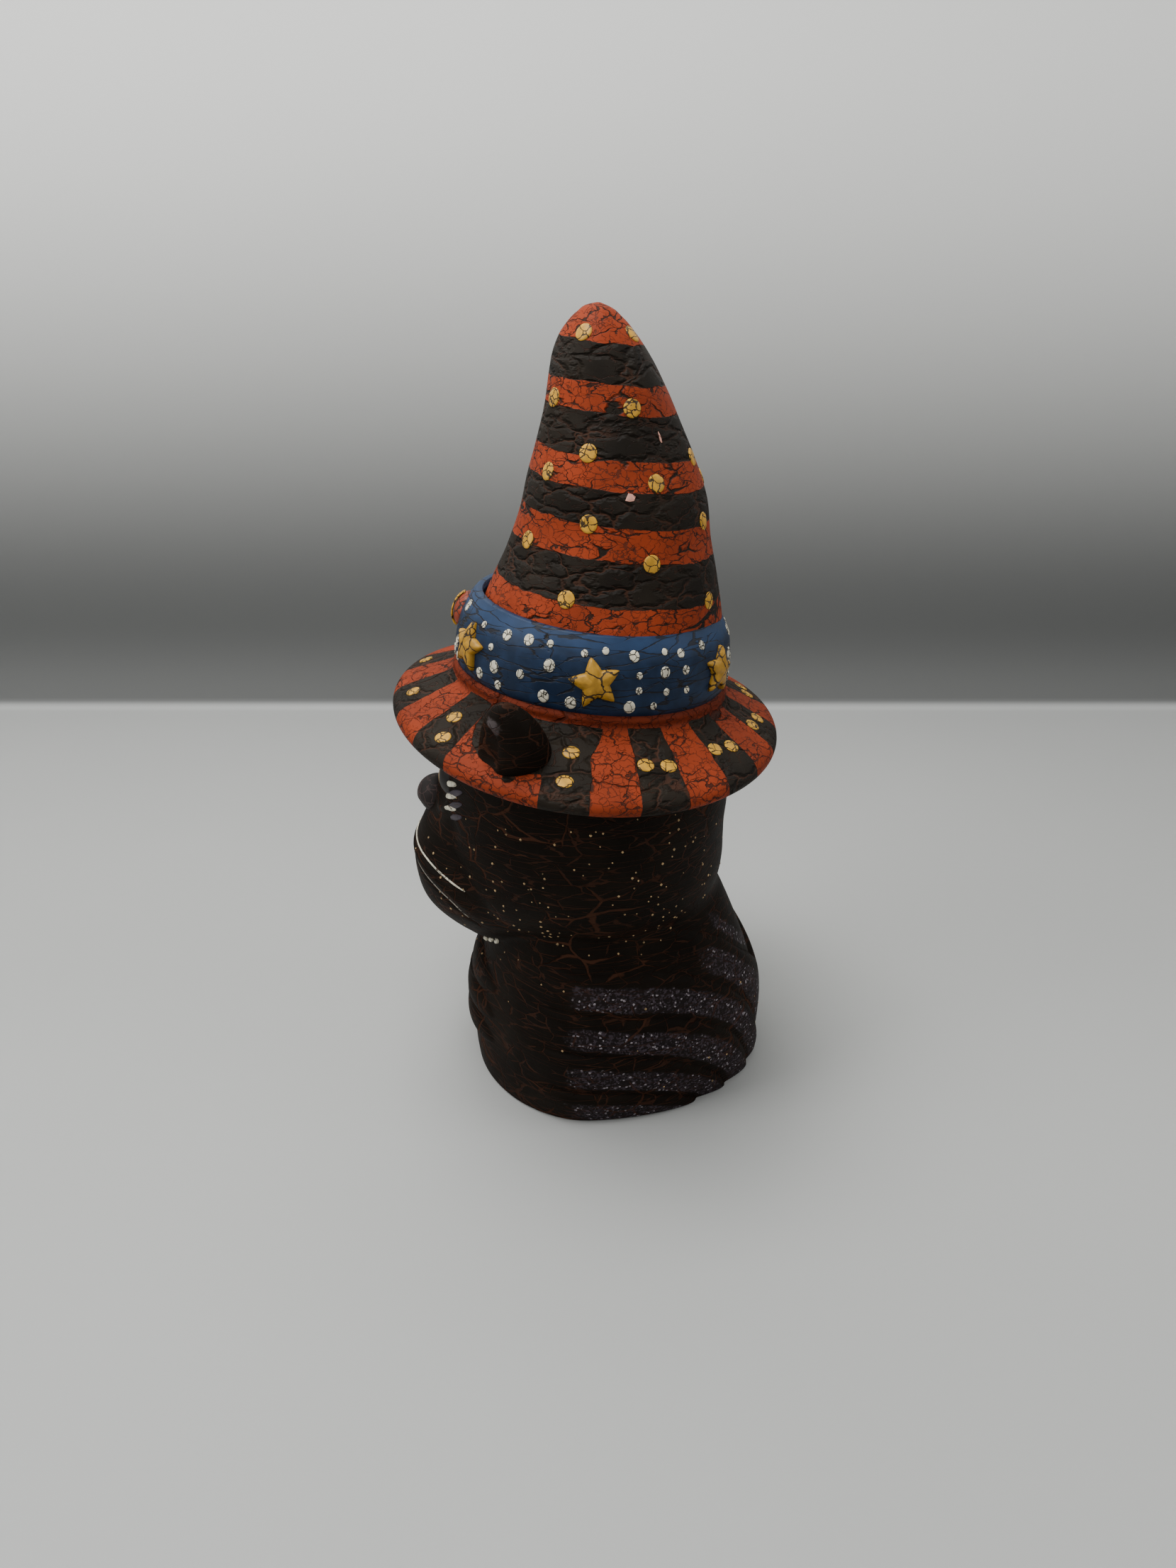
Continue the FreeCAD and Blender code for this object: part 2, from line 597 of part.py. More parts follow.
def gear_plate():
    plate = cylinder(GEAR_PLATE_RADIUS, GEAR_PLATE_BOTTOM, GEAR_PLATE_TOP)
    low, high = GEAR_PLATE_BOTTOM - 1, GEAR_PLATE_TOP + 1
    plate = plate.cut(cylinder(JOURNAL_RADIUS + RUNNING_CLEARANCE, low, high))
    for axis in (FIRST_AXIS, SECOND_AXIS):
        plate = plate.cut(cylinder(PIN_RADIUS + PRESS_CLEARANCE, low, high, axis.x, axis.y))
    plate = plate.cut(cylinder(MOTOR_BOSS_RADIUS + HOLE_CLEARANCE, low, high, MOTOR_AXIS.x, MOTOR_AXIS.y))
    for place in motor_screw_places():
        plate = plate.cut(cylinder(SCREW_M2[0] + HOLE_CLEARANCE, low, high, place.x, place.y))
    for degrees in PILLAR_ANGLES:
        place = on_circle(PILLAR_CIRCLE, degrees)
        plate = plate.cut(cylinder(SCREW_M2[0] + HOLE_CLEARANCE, low, high, place.x, place.y))
    return leaned(plate)


def motor_screw_places():
    return [MOTOR_AXIS + Vector(0, side * MOTOR_SCREW_OFFSET, 0) for side in (-1, 1)]


def pillars():
    posts = []
    for degrees in PILLAR_ANGLES:
        place = on_circle(PILLAR_CIRCLE, degrees)
        post = cylinder(PILLAR_RADIUS, GEAR_PLATE_TOP, DECK_BOTTOM, place.x, place.y)
        pilot = SCREW_M2[0] + PILOT_CLEARANCE
        bore = cylinder(pilot, GEAR_PLATE_TOP - 1, DECK_BOTTOM + 1, place.x, place.y)
        posts.append(leaned(post.cut(bore)))
    return posts


def pillar_screws():
    length = GEAR_PLATE_THICK + GEAR_BAY + DECK_THICK - 0.5
    places = [on_circle(PILLAR_CIRCLE, degrees) for degrees in PILLAR_ANGLES]
    return [leaned(screw(SCREW_M2, length, p.x, p.y, GEAR_PLATE_BOTTOM)) for p in places]


def gear_pins():
    return [leaned(cylinder(PIN_RADIUS, GEAR_PLATE_BOTTOM, DECK_TOP, axis.x, axis.y))
            for axis in (FIRST_AXIS, SECOND_AXIS)]


def bearing_bush():
    low = DECK_BOTTOM - BUSH_FLANGE_THICK
    body = cylinder(BUSH_RADIUS, low, DECK_TOP).fuse(cylinder(BUSH_FLANGE_RADIUS, low, DECK_BOTTOM))
    return leaned(body.cut(cylinder(SPINDLE_RADIUS + RUNNING_CLEARANCE, low - 1, DECK_TOP + 1)))


def thrust_washer():
    low, high = DECK_TOP + RUNNING_CLEARANCE, -RUNNING_CLEARANCE
    ring = cylinder(WASHER_RADIUS, low, high)
    return leaned(ring.cut(cylinder(SPINDLE_RADIUS + 2 * RUNNING_CLEARANCE, low - 1, high + 1)))


def spindle():
    """The upright shaft that carries the hat, with a D at the top and a clip groove at the foot."""
    shoulder = GEAR_PLATE_TOP + LAYER_GAP
    foot = GEAR_PLATE_BOTTOM - SPINDLE_TAIL
    shaft = cylinder(SPINDLE_RADIUS, shoulder, HUB_HEIGHT - 1).fuse(cylinder(JOURNAL_RADIUS, foot, shoulder))
    flat = block(10, 10, RUNNING_CLEARANCE, HUB_HEIGHT, SPINDLE_FLAT + 5, 0)
    shaft = shaft.cut(flat)
    groove_low = GEAR_PLATE_BOTTOM - RUNNING_CLEARANCE - CLIP_THICK
    groove = cylinder(JOURNAL_RADIUS + 1, groove_low, groove_low + CLIP_THICK)
    groove = groove.cut(cylinder(CLIP_GROOVE_RADIUS, groove_low - 1, groove_low + CLIP_THICK + 1))
    return leaned(shaft.cut(groove).removeSplitter())


def retaining_clip():
    """A spring clip in the spindle's groove."""
    high = GEAR_PLATE_BOTTOM - RUNNING_CLEARANCE
    low = high - CLIP_THICK
    ring = cylinder(CLIP_RADIUS, low, high)
    ring = ring.cut(cylinder(CLIP_GROOVE_RADIUS + PRESS_CLEARANCE, low - 1, high + 1))
    return leaned(ring.cut(block(10, 2 * CLIP_GROOVE_RADIUS * 0.9, low - 1, high + 1, 5, 0)))


def hat_plate():
    """The disc glued into the hat, with a D-bored boss that pushes on to the spindle."""
    plate = cylinder(HAT_PLATE_RADIUS, 0, HAT_PLATE_THICK).fuse(cylinder(HUB_RADIUS, 0, HUB_HEIGHT))
    rib_start, rib_end = HUB_RADIUS - HAT_RIB_THICK / 2, HAT_PLATE_RADIUS - HAT_RIB_END
    for i in range(HAT_RIB_COUNT):
        rib = block(rib_end - rib_start, HAT_RIB_THICK, HAT_PLATE_THICK, HAT_PLATE_THICK + HAT_RIB_HEIGHT,
                    (rib_end + rib_start) / 2, 0)
        rib.rotate(Vector(0, 0, 0), Z, (i + 0.5) * 360.0 / HAT_RIB_COUNT)
        plate = plate.fuse(rib)
    bore = cylinder(SPINDLE_RADIUS + PRESS_CLEARANCE, -1, HUB_HEIGHT + 1)
    flat_x = SPINDLE_FLAT + PRESS_CLEARANCE
    bore = bore.cut(block(10, 10, RUNNING_CLEARANCE * 2, HUB_HEIGHT + 2, flat_x + 5, 0))
    return leaned(plate.cut(bore))


def motor():
    top = GEAR_PLATE_BOTTOM
    can = cylinder(MOTOR_RADIUS, top - MOTOR_LENGTH, top)
    can = can.common(block(2 * MOTOR_RADIUS, 1.56 * MOTOR_RADIUS, top - MOTOR_LENGTH, top))
    can = can.fuse(cylinder(MOTOR_BOSS_RADIUS, top, top + MOTOR_BOSS_HEIGHT))
    can = can.cut(cylinder(MOTOR_SHAFT_RADIUS + RUNNING_CLEARANCE, top - MOTOR_LENGTH - 1, top + 3))
    for side in (-1, 1):
        can = can.cut(cylinder(SCREW_M2[0] + PILOT_CLEARANCE, top - 4, top + 1, 0, side * MOTOR_SCREW_OFFSET))
    can.translate(MOTOR_AXIS)
    return leaned(can)


def terminal_block(side, low, high):
    width, depth = TERMINAL_SECTION
    return block(width, depth, low, high, side * TERMINAL_OFFSET, 0)


def motor_cap():
    high = GEAR_PLATE_BOTTOM - MOTOR_LENGTH
    low = high - MOTOR_CAP_LENGTH
    cap = cylinder(MOTOR_RADIUS - 0.6, low, high)
    cap = cap.common(block(2 * MOTOR_RADIUS, 1.5 * MOTOR_RADIUS, low, high))
    cap = cap.cut(cylinder(MOTOR_SHAFT_RADIUS + RUNNING_CLEARANCE, low + 1, high + 1))
    for side in (-1, 1):
        cap = cap.cut(terminal_block(side, low - 1, high - 1))
    cap.translate(MOTOR_AXIS)
    return leaned(cap)


def motor_terminals():
    high = GEAR_PLATE_BOTTOM - MOTOR_LENGTH - 1
    tabs = []
    for side in (-1, 1):
        tab = terminal_block(side, high + 1 - MOTOR_CAP_LENGTH - TERMINAL_LENGTH, high)
        tab.translate(MOTOR_AXIS)
        tabs.append(leaned(tab))
    return tabs


def motor_shaft():
    low = GEAR_PLATE_BOTTOM - MOTOR_LENGTH - MOTOR_CAP_LENGTH + 1.5
    return leaned(cylinder(MOTOR_SHAFT_RADIUS, low, LAYERS[0] + GEAR_FACE, MOTOR_AXIS.x, MOTOR_AXIS.y))


def motor_screws():
    return [leaned(screw(SCREW_M2, MOTOR_SCREW_LENGTH, p.x, p.y, GEAR_PLATE_TOP, up=False))
            for p in motor_screw_places()]


# ---- base unit -------------------------------------------------------------------------------------------
TUB_ROOF = FOOT_TOP + 2 * CELL_RADIUS + 1.2
DOOR_X = TUB_LENGTH + 2 * DOOR_LIP
DOOR_Y = TUB_WIDTH + 2 * DOOR_LIP
DOOR_LOW = FOOT_RECESS
HINGE_Y = TUB_CENTRE_Y - DOOR_Y / 2 - DOOR_GAP - DOOR_PIN_RADIUS
HINGE_Z = DOOR_LOW + DOOR_PIN_RADIUS
BOARD_LOW = TUB_ROOF + TUB_WALL + BOARD_STANDOFF
BOARD_HOLES = [Vector(sx * (BOARD_SIZE[0] / 2 - 4), TUB_CENTRE_Y + sy * (BOARD_SIZE[1] / 2 - 4), 0)
               for sx in (-1, 1) for sy in (-1, 1)]
DOOR_SCREW_Y = TUB_CENTRE_Y + DOOR_Y / 2 + DOOR_SCREW_OFFSET


def tub_block(grow, low, high):
    return block(TUB_LENGTH + 2 * grow, TUB_WIDTH + 2 * grow, low, high, 0, TUB_CENTRE_Y)


def base_plate():
    """The moulding that closes the foot: battery tub, board posts, speaker grille and switch window."""
    plate = foot_prism(WALL + FIT_GAP, FOOT_RECESS, FOOT_TOP)
    plate = plate.fuse(tub_block(TUB_WALL, FOOT_TOP - 1, TUB_ROOF + TUB_WALL))
    for hole in BOARD_HOLES:
        plate = plate.fuse(cylinder(POST_RADIUS, TUB_ROOF, BOARD_LOW, hole.x, hole.y))
    ring = cylinder(SPEAKER_RADIUS + SPEAKER_RING, FOOT_TOP - 1, FOOT_TOP + 4, 0, SPEAKER_Y)
    ring = ring.cut(cylinder(SPEAKER_RADIUS + HOLE_CLEARANCE, FOOT_TOP - 2, FOOT_TOP + 5, 0, SPEAKER_Y))
    plate = plate.fuse(ring)
    plate = plate.cut(tub_block(0, FOOT_RECESS - 1, TUB_ROOF))
    plate = plate.cut(block(DOOR_X + 2 * DOOR_GAP, DOOR_Y + 2 * DOOR_GAP, FOOT_RECESS - 1,
                            DOOR_LOW + DOOR_THICK + DOOR_GAP, 0, TUB_CENTRE_Y))
    # the hinge channel and the seat of the door's screw tab
    plate = plate.cut(block(DOOR_X + 2 * DOOR_GAP, 2 * DOOR_PIN_RADIUS + 2 * DOOR_GAP + 3, FOOT_RECESS - 1,
                            HINGE_Z + DOOR_PIN_RADIUS + DOOR_GAP, 0, HINGE_Y + 1.2))
    plate = plate.cut(block(DOOR_TAB_WIDTH + 2 * DOOR_GAP, DOOR_TAB_WIDTH, FOOT_RECESS - 1,
                            DOOR_LOW + DOOR_THICK + DOOR_GAP, 0, DOOR_SCREW_Y - DOOR_GAP + 0.1))
    pilot = SCREW_M2[0] + PILOT_CLEARANCE
    plate = plate.cut(cylinder(pilot, FOOT_RECESS - 1, FOOT_TOP + 1, 0, DOOR_SCREW_Y))
    for side in (-1, 1):
        socket = Part.makeCylinder(DOOR_PIVOT_RADIUS + RUNNING_CLEARANCE, DOOR_PIVOT_LENGTH + 0.5,
                                   Vector(side * DOOR_X / 2, HINGE_Y, HINGE_Z), Vector(side, 0, 0))
        plate = plate.cut(socket)
    screw_hole = SCREW_M3[0] + HOLE_CLEARANCE
    for place in base_screw_places():
        plate = plate.cut(cylinder(screw_hole, FOOT_RECESS - 1, FOOT_TOP + 1, place.x, place.y))
    for ring_radius, count in GRILLE_RINGS:
        for i in range(count):
            p = on_circle(ring_radius, 360.0 * i / count)
            hole = cylinder(GRILLE_HOLE, FOOT_RECESS - 1, FOOT_TOP + 1, p.x, p.y + SPEAKER_Y)
            plate = plate.cut(hole)
    window = block(KNOB_SIZE[0] + 1, KNOB_SIZE[1] + SWITCH_TRAVEL + 1, FOOT_RECESS - 1, FOOT_TOP + 1,
                   SWITCH_X, SWITCH_Y)
    plate = plate.cut(window)
    for hole in BOARD_HOLES:
        plate = plate.cut(cylinder(pilot, TUB_ROOF + TUB_WALL, BOARD_LOW + 1, hole.x, hole.y))
    return plate


def base_screws():
    return [screw(SCREW_M3, BASE_SCREW_LENGTH, p.x, p.y, FOOT_RECESS) for p in base_screw_places()]


def battery_door():
    high = DOOR_LOW + DOOR_THICK
    door = block(DOOR_X, DOOR_Y, DOOR_LOW, high, 0, TUB_CENTRE_Y)
    arm_depth = TUB_CENTRE_Y - DOOR_Y / 2 - HINGE_Y + 0.5
    door = door.fuse(block(DOOR_X - 1, arm_depth, DOOR_LOW, high, 0, HINGE_Y + arm_depth / 2))
    pivots = DOOR_X - 1 + 2 * DOOR_PIVOT_LENGTH
    for radius, length in ((DOOR_PIN_RADIUS, DOOR_X - 1), (DOOR_PIVOT_RADIUS, pivots)):
        pin = Part.makeCylinder(radius, length, Vector(-length / 2, HINGE_Y, HINGE_Z), Vector(1, 0, 0))
        door = door.fuse(pin)
    tab_start, tab_end = TUB_CENTRE_Y + DOOR_Y / 2 - 1, DOOR_SCREW_Y + DOOR_TAB_END
    tab = block(DOOR_TAB_WIDTH, tab_end - tab_start, DOOR_LOW, high, 0, (tab_start + tab_end) / 2)
    door = door.fuse(tab).removeSplitter()
    return door.cut(cylinder(SCREW_M2[0] + HOLE_CLEARANCE, DOOR_LOW - 1, high + 1, 0, DOOR_SCREW_Y))


def door_screw():
    return screw(SCREW_M2, DOOR_SCREW_LENGTH, 0, DOOR_SCREW_Y, DOOR_LOW)


def cell_axis(i):
    return TUB_CENTRE_Y + (i - (CELL_COUNT - 1) / 2) * CELL_PITCH, FOOT_TOP + CELL_RADIUS + CELL_LIFT


def cell(i):
    y, z = cell_axis(i)
    facing = 1 if i % 2 == 0 else -1
    start = Vector(-facing * CELL_LENGTH / 2, y, z)
    body = Part.makeCylinder(CELL_RADIUS, CELL_LENGTH, start, Vector(facing, 0, 0))
    end = Vector(facing * CELL_LENGTH / 2, y, z)
    nub = Part.makeCylinder(CELL_NUB[0], CELL_NUB[1], end, Vector(facing, 0, 0))
    return body.fuse(nub)


def contact_plates():
    """Flat contacts on both ends of the tub; each end has one that joins two cells."""
    inner = TUB_LENGTH / 2
    low, high = FOOT_TOP + 1.0, TUB_ROOF - 1.0
    first, last = cell_axis(0)[0], cell_axis(CELL_COUNT - 1)[0]
    middle = cell_axis(1)[0]
    spans = [(-1, (first + middle) / 2, CELL_PITCH + 9), (-1, last, 9.0),
             (1, first, 9.0), (1, (middle + last) / 2, CELL_PITCH + 9)]
    return [Part.makeBox(CONTACT_THICK, width, high - low,
                         Vector(side * (inner - CONTACT_THICK / 2) - CONTACT_THICK / 2, y - width / 2, low))
            for side, y, width in spans]


def contact_springs():
    """A conical spring behind the flat end of each cell."""
    start_x = TUB_LENGTH / 2 - CONTACT_THICK - SPRING_WIRE - CONTACT_GAP
    height = start_x - CELL_LENGTH / 2 - SPRING_WIRE - CONTACT_GAP
    steps = round(SPRING_TURNS * 12)
    turns = []
    for k in range(steps + 1):
        radius = SPRING_RADIUS - (SPRING_RADIUS - SPRING_TIP_RADIUS) * k / steps
        turns.append(on_circle(radius, 360.0 * SPRING_TURNS * k / steps) + Z * (height * k / steps))
    curve = Part.BSplineCurve()
    curve.interpolate(turns)
    along = curve.tangent(curve.FirstParameter)[0]
    ring = Part.Wire([Part.Circle(turns[0], along, SPRING_WIRE).toShape()])
    coil = Part.Wire([curve.toShape()]).makePipeShell([ring], True, False)
    springs = []
    for i in range(CELL_COUNT):
        y, z = cell_axis(i)
        facing = 1 if i % 2 == 0 else -1
        spring = coil.copy()
        spring.Placement = Placement(Vector(-facing * start_x, y, z), Rotation(Vector(0, 1, 0), facing * 90))
        springs.append(spring)
    return springs


def speaker_frame():
    low, flange, rim = FOOT_TOP, 2.0, SPEAKER_RADIUS - 1.5
    neck = SPEAKER_MAGNET_RADIUS + 0.5
    frame = cylinder(SPEAKER_RADIUS, low, low + flange, 0, SPEAKER_Y)
    basket = Part.makeCone(rim, neck, SPEAKER_BASKET_HEIGHT - flange, Vector(0, SPEAKER_Y, low + flange))
    frame = frame.fuse(basket)
    hollow = Part.makeCone(rim - 0.7, neck - 1, SPEAKER_BASKET_HEIGHT - 1.9, Vector(0, SPEAKER_Y, low + 1.2))
    return frame.cut(hollow).cut(cylinder(rim - 0.7, low - 1, low + 1.2, 0, SPEAKER_Y))


def speaker_cone():
    low, rim, depth = FOOT_TOP + 0.8, SPEAKER_RADIUS - 2.6, 3.4
    coil = 0.55 * SPEAKER_MAGNET_RADIUS
    outer = Part.makeCone(rim, coil, depth, Vector(0, SPEAKER_Y, low))
    inner = Part.makeCone(rim, coil, depth, Vector(0, SPEAKER_Y, low - 0.4))
    return outer.cut(inner).fuse(cylinder(coil, low + depth - 0.6, low + depth, 0, SPEAKER_Y))


def speaker_magnet():
    low = FOOT_TOP + SPEAKER_BASKET_HEIGHT
    return cylinder(SPEAKER_MAGNET_RADIUS, low, low + SPEAKER_MAGNET_HEIGHT, 0, SPEAKER_Y)


def switch_body():
    size_x, size_y, height = SWITCH_SIZE
    body = block(size_x, size_y, FOOT_TOP, FOOT_TOP + height, SWITCH_X, SWITCH_Y)
    slot = block(KNOB_SIZE[0] + 0.8, KNOB_SIZE[1] + SWITCH_TRAVEL + 0.8, FOOT_TOP - 1, FOOT_TOP + 3,
                 SWITCH_X, SWITCH_Y)
    return body.cut(slot)


def switch_knob():
    return block(KNOB_SIZE[0], KNOB_SIZE[1], 0.8, FOOT_TOP + 2.6, SWITCH_X, SWITCH_Y - SWITCH_TRAVEL / 2)


def control_board():
    size_x, size_y, thick = BOARD_SIZE
    board = block(size_x, size_y, BOARD_LOW, BOARD_LOW + thick, 0, TUB_CENTRE_Y)
    for hole in BOARD_HOLES:
        clear = SCREW_M2[0] + HOLE_CLEARANCE
        board = board.cut(cylinder(clear, BOARD_LOW - 1, BOARD_LOW + thick + 1, hole.x, hole.y))
    return board


def board_screws():
    top = BOARD_LOW + BOARD_SIZE[2]
    return [screw(SCREW_M2, BOARD_SCREW_LENGTH, hole.x, hole.y, top, up=False) for hole in BOARD_HOLES]


def board_parts():
    """Sound chip, motor driver, two capacitors and two lead sockets."""
    top = BOARD_LOW + BOARD_SIZE[2]
    y = TUB_CENTRE_Y
    return [block(12, 8, top, top + 2.0, -6, y - 2), block(6, 5, top, top + 1.6, 10, y - 6),
            cylinder(3.0, top, top + 8.0, 8, y + 7), cylinder(2.5, top, top + 6.0, -14, y + 9),
            block(6.0, 5.0, top, top + SOCKET_HEIGHT, SOCKET_X, y + 2),
            block(6.0, 5.0, top, top + SOCKET_HEIGHT, 0, y + 13)]


def to_hat_frame(x, y, s):
    return HAT_FRAME.multVec(Vector(x, y, s))


def motor_leads():
    """Two leads from the board socket up to the motor's terminals."""
    start_z = BOARD_LOW + BOARD_SIZE[2] + SOCKET_HEIGHT
    tab_low = GEAR_PLATE_BOTTOM - MOTOR_LENGTH - MOTOR_CAP_LENGTH - TERMINAL_LENGTH
    leads = []
    for side in (-1, 1):
        x, y = SOCKET_X + side * 1.5, TUB_CENTRE_Y + 2
        tab_x = MOTOR_AXIS.x + side * TERMINAL_OFFSET
        end, before = [to_hat_frame(tab_x, MOTOR_AXIS.y, tab_low - drop) for drop in (0, 9)]
        third = start_z + (before.z - start_z) / 3
        points = [Vector(x, y, start_z), Vector(x, y, start_z + 9), Vector(x - 3, y + 7, third + 4),
                  Vector(before.x + 6, before.y - 4, before.z - 12), before, end]
        leads.append(lead(points, LEAD_RADIUS))
    return leads


def speaker_leads():
    """Two leads from the board socket back and down to the speaker."""
    start_z = BOARD_LOW + BOARD_SIZE[2] + SOCKET_HEIGHT
    leads = []
    for side in (-1, 1):
        x, y = side * 1.5, TUB_CENTRE_Y + 13
        rim = side * (SPEAKER_MAGNET_RADIUS + 3.0)
        points = [Vector(x, y, start_z), Vector(x, y, start_z + 6), Vector(x + side * 2, y + 8, start_z + 10),
                  Vector(x + side * 6, y + 18, start_z + 4), Vector(rim, SPEAKER_Y, FOOT_TOP + 14),
                  Vector(rim, SPEAKER_Y, FOOT_TOP + SPEAKER_BASKET_HEIGHT - 1)]
        leads.append(lead(points, LEAD_RADIUS))
    return leads


def main():
    os.makedirs("parts", exist_ok=True)
    bust_shape = bust()
    brim, band_solid = brim_solid(), band()
    save("bust_shell", bust_shape)
    hat_shape = hat()
    save("hat_shell", leaned(hat_shape))
    save("hat_band", leaned(band_solid.cut(crown_solid(0.0))))
    save("band_stars", *stars(band_solid))
    save("band_brooch", brooch(band_solid))
    save("ear_left", ear(1, brim, band_solid))
    save("ear_right", ear(-1, brim, band_solid))
    save("nose", nose(bust_solid(0.0)))
    save("eye_left", eye(1, bust_solid(0.0)))
    save("eye_right", eye(-1, bust_solid(0.0)))

    save("drive_deck", deck())
    save("deck_screws", *deck_screws())
    save("gear_plate", gear_plate())
    save("gear_pillars", *pillars())
    save("pillar_screws", *pillar_screws())
    save("gear_pins", *gear_pins())
    save("bearing_bush", bearing_bush())
    save("thrust_washer", thrust_washer())
    save("hat_spindle", spindle())
    save("spindle_clip", retaining_clip())
    save("hat_plate", hat_plate())
    save("output_gear", output_gear())
    save("second_gear", compound_gear(1, SECOND_AXIS, SECOND_TURN))
    save("first_gear", compound_gear(0, FIRST_AXIS, FIRST_TURN))
    save("motor_pinion", motor_pinion())
    save("motor_shaft", motor_shaft())
    save("motor_can", motor())
    save("motor_end_cap", motor_cap())
    save("motor_terminals", *motor_terminals())
    save("motor_screws", *motor_screws())
    save("motor_leads", *motor_leads())

    save("base_plate", base_plate())
    save("base_screws", *base_screws())
    save("battery_door", battery_door())
    save("door_screw", door_screw())
    for i in range(CELL_COUNT):
        save("battery_%d" % (i + 1), cell(i))
    save("contact_plates", *contact_plates())
    save("contact_springs", *contact_springs())
    save("speaker_frame", speaker_frame())
    save("speaker_cone", speaker_cone())
    save("speaker_magnet", speaker_magnet())
    save("speaker_leads", *speaker_leads())
    save("switch_body", switch_body())
    save("switch_knob", switch_knob())
    save("control_board", control_board())
    save("board_parts", *board_parts())
    save("board_screws", *board_screws())


main()
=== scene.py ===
import json
import math

import bpy
import numpy as np
from bpy.props import FloatProperty, FloatVectorProperty, IntProperty, PointerProperty
from mathutils import Matrix, Vector


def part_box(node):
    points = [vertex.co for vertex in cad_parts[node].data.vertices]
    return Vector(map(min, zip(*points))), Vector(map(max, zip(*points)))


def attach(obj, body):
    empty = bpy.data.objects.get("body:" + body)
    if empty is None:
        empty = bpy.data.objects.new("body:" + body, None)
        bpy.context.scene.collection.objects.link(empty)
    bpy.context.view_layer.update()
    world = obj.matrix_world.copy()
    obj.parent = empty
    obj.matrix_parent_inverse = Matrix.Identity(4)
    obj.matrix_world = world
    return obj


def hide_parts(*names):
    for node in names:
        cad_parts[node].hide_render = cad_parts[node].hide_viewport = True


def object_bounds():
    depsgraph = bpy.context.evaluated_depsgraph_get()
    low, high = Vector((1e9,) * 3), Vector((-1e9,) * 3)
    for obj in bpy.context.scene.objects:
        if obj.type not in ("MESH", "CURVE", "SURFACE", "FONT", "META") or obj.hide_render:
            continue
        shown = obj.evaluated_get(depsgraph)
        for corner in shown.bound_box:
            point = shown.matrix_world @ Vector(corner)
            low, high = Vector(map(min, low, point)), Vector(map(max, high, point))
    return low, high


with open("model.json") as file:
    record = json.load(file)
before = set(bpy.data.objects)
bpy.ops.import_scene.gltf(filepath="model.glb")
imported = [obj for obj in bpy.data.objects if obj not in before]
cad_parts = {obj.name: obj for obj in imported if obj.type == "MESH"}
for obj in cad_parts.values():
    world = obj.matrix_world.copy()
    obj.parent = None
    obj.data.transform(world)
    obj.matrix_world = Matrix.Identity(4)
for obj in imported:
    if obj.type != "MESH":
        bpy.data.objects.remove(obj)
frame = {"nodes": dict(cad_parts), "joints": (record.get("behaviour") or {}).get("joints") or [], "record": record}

bl_info = {
    "name": "Swaying Cat in a Witch's Hat",
    "version": (1, 0, 0),
    "blender": (4, 5, 0),
    "location": "3D View > Sidebar > Cat Figure",
    "description": "Builds the painted casting, hat, trims and finishes of a battery-driven cat figure",
    "category": "Add Mesh",
}

MM = 0.001
SWAY = next(joint for joint in frame["joints"] if joint["name"] == "hat_sway")
PIVOT = np.array(SWAY["pos_m"]) / MM
LEAN = math.atan2(SWAY["axis"][1], SWAY["axis"][2])
CAD_BOX = [list(corner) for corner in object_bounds()]
TOTAL_HEIGHT = CAD_BOX[1][2] - CAD_BOX[0][2]
BRIM_LOW, BRIM_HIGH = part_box("hat_shell")


# ---- settings --------------------------------------------------------------------------------------------
class CatForm(bpy.types.PropertyGroup):
    """Sizes of the sculpted casting and its trims."""
    columns: IntProperty(name="Columns", description="Mesh columns round the bust and hat", default=300)
    rows: IntProperty(name="Rows", description="Mesh rows up the bust's outside", default=290)
    wall: FloatProperty(name="Wall", description="Thickness of the casting", default=4 * MM, unit="LENGTH")
    ledge_relief: FloatProperty(name="Ledge relief", description="How far each back ledge stands proud",
                                default=2.9 * MM, unit="LENGTH")
    paw_relief: FloatProperty(name="Paw relief", description="How far the chest lobes stand proud",
                              default=3.6 * MM, unit="LENGTH")
    star_radius: FloatProperty(name="Star radius", description="Centre to point of a band star",
                               default=9.8 * MM, unit="LENGTH")
    star_count: IntProperty(name="Stars", description="Stars round the band", default=6)
    dot_radius: FloatProperty(name="Dot radius", description="Radius of a gold paint dot",
                              default=3.1 * MM, unit="LENGTH")
    speck_count: IntProperty(name="Specks", description="Flecks of paint on the bust", default=420)


class CatPaint(bpy.types.PropertyGroup):
    """Colours of the paint."""
    charcoal: FloatVectorProperty(name="Charcoal", description="Top coat of the cat", subtype="COLOR",
                                  default=(0.0062, 0.0042, 0.0027))
    undercoat: FloatVectorProperty(name="Undercoat", description="Red-brown coat that shows in the cracks",
                                   subtype="COLOR", default=(0.046, 0.0185, 0.0100))
    orange: FloatVectorProperty(name="Orange", description="Light stripes of the hat", subtype="COLOR",
                                default=(0.29, 0.040, 0.0110))
    stripe: FloatVectorProperty(name="Stripe", description="Dark stripes of the hat", subtype="COLOR",
                                default=(0.0130, 0.0095, 0.0062))
    navy: FloatVectorProperty(name="Navy", description="Hat band", subtype="COLOR",
                              default=(0.0085, 0.021, 0.050))
    gold: FloatVectorProperty(name="Gold", description="Stars and large dots", subtype="COLOR",
                              default=(0.60, 0.31, 0.026))
    cream: FloatVectorProperty(name="Cream", description="Small dots, lashes, claws and mouth line",
                               subtype="COLOR", default=(0.72, 0.67, 0.52))
    glitter: FloatVectorProperty(name="Glitter", description="Purple glitter between the back ledges",
                                 subtype="COLOR", default=(0.072, 0.056, 0.068))


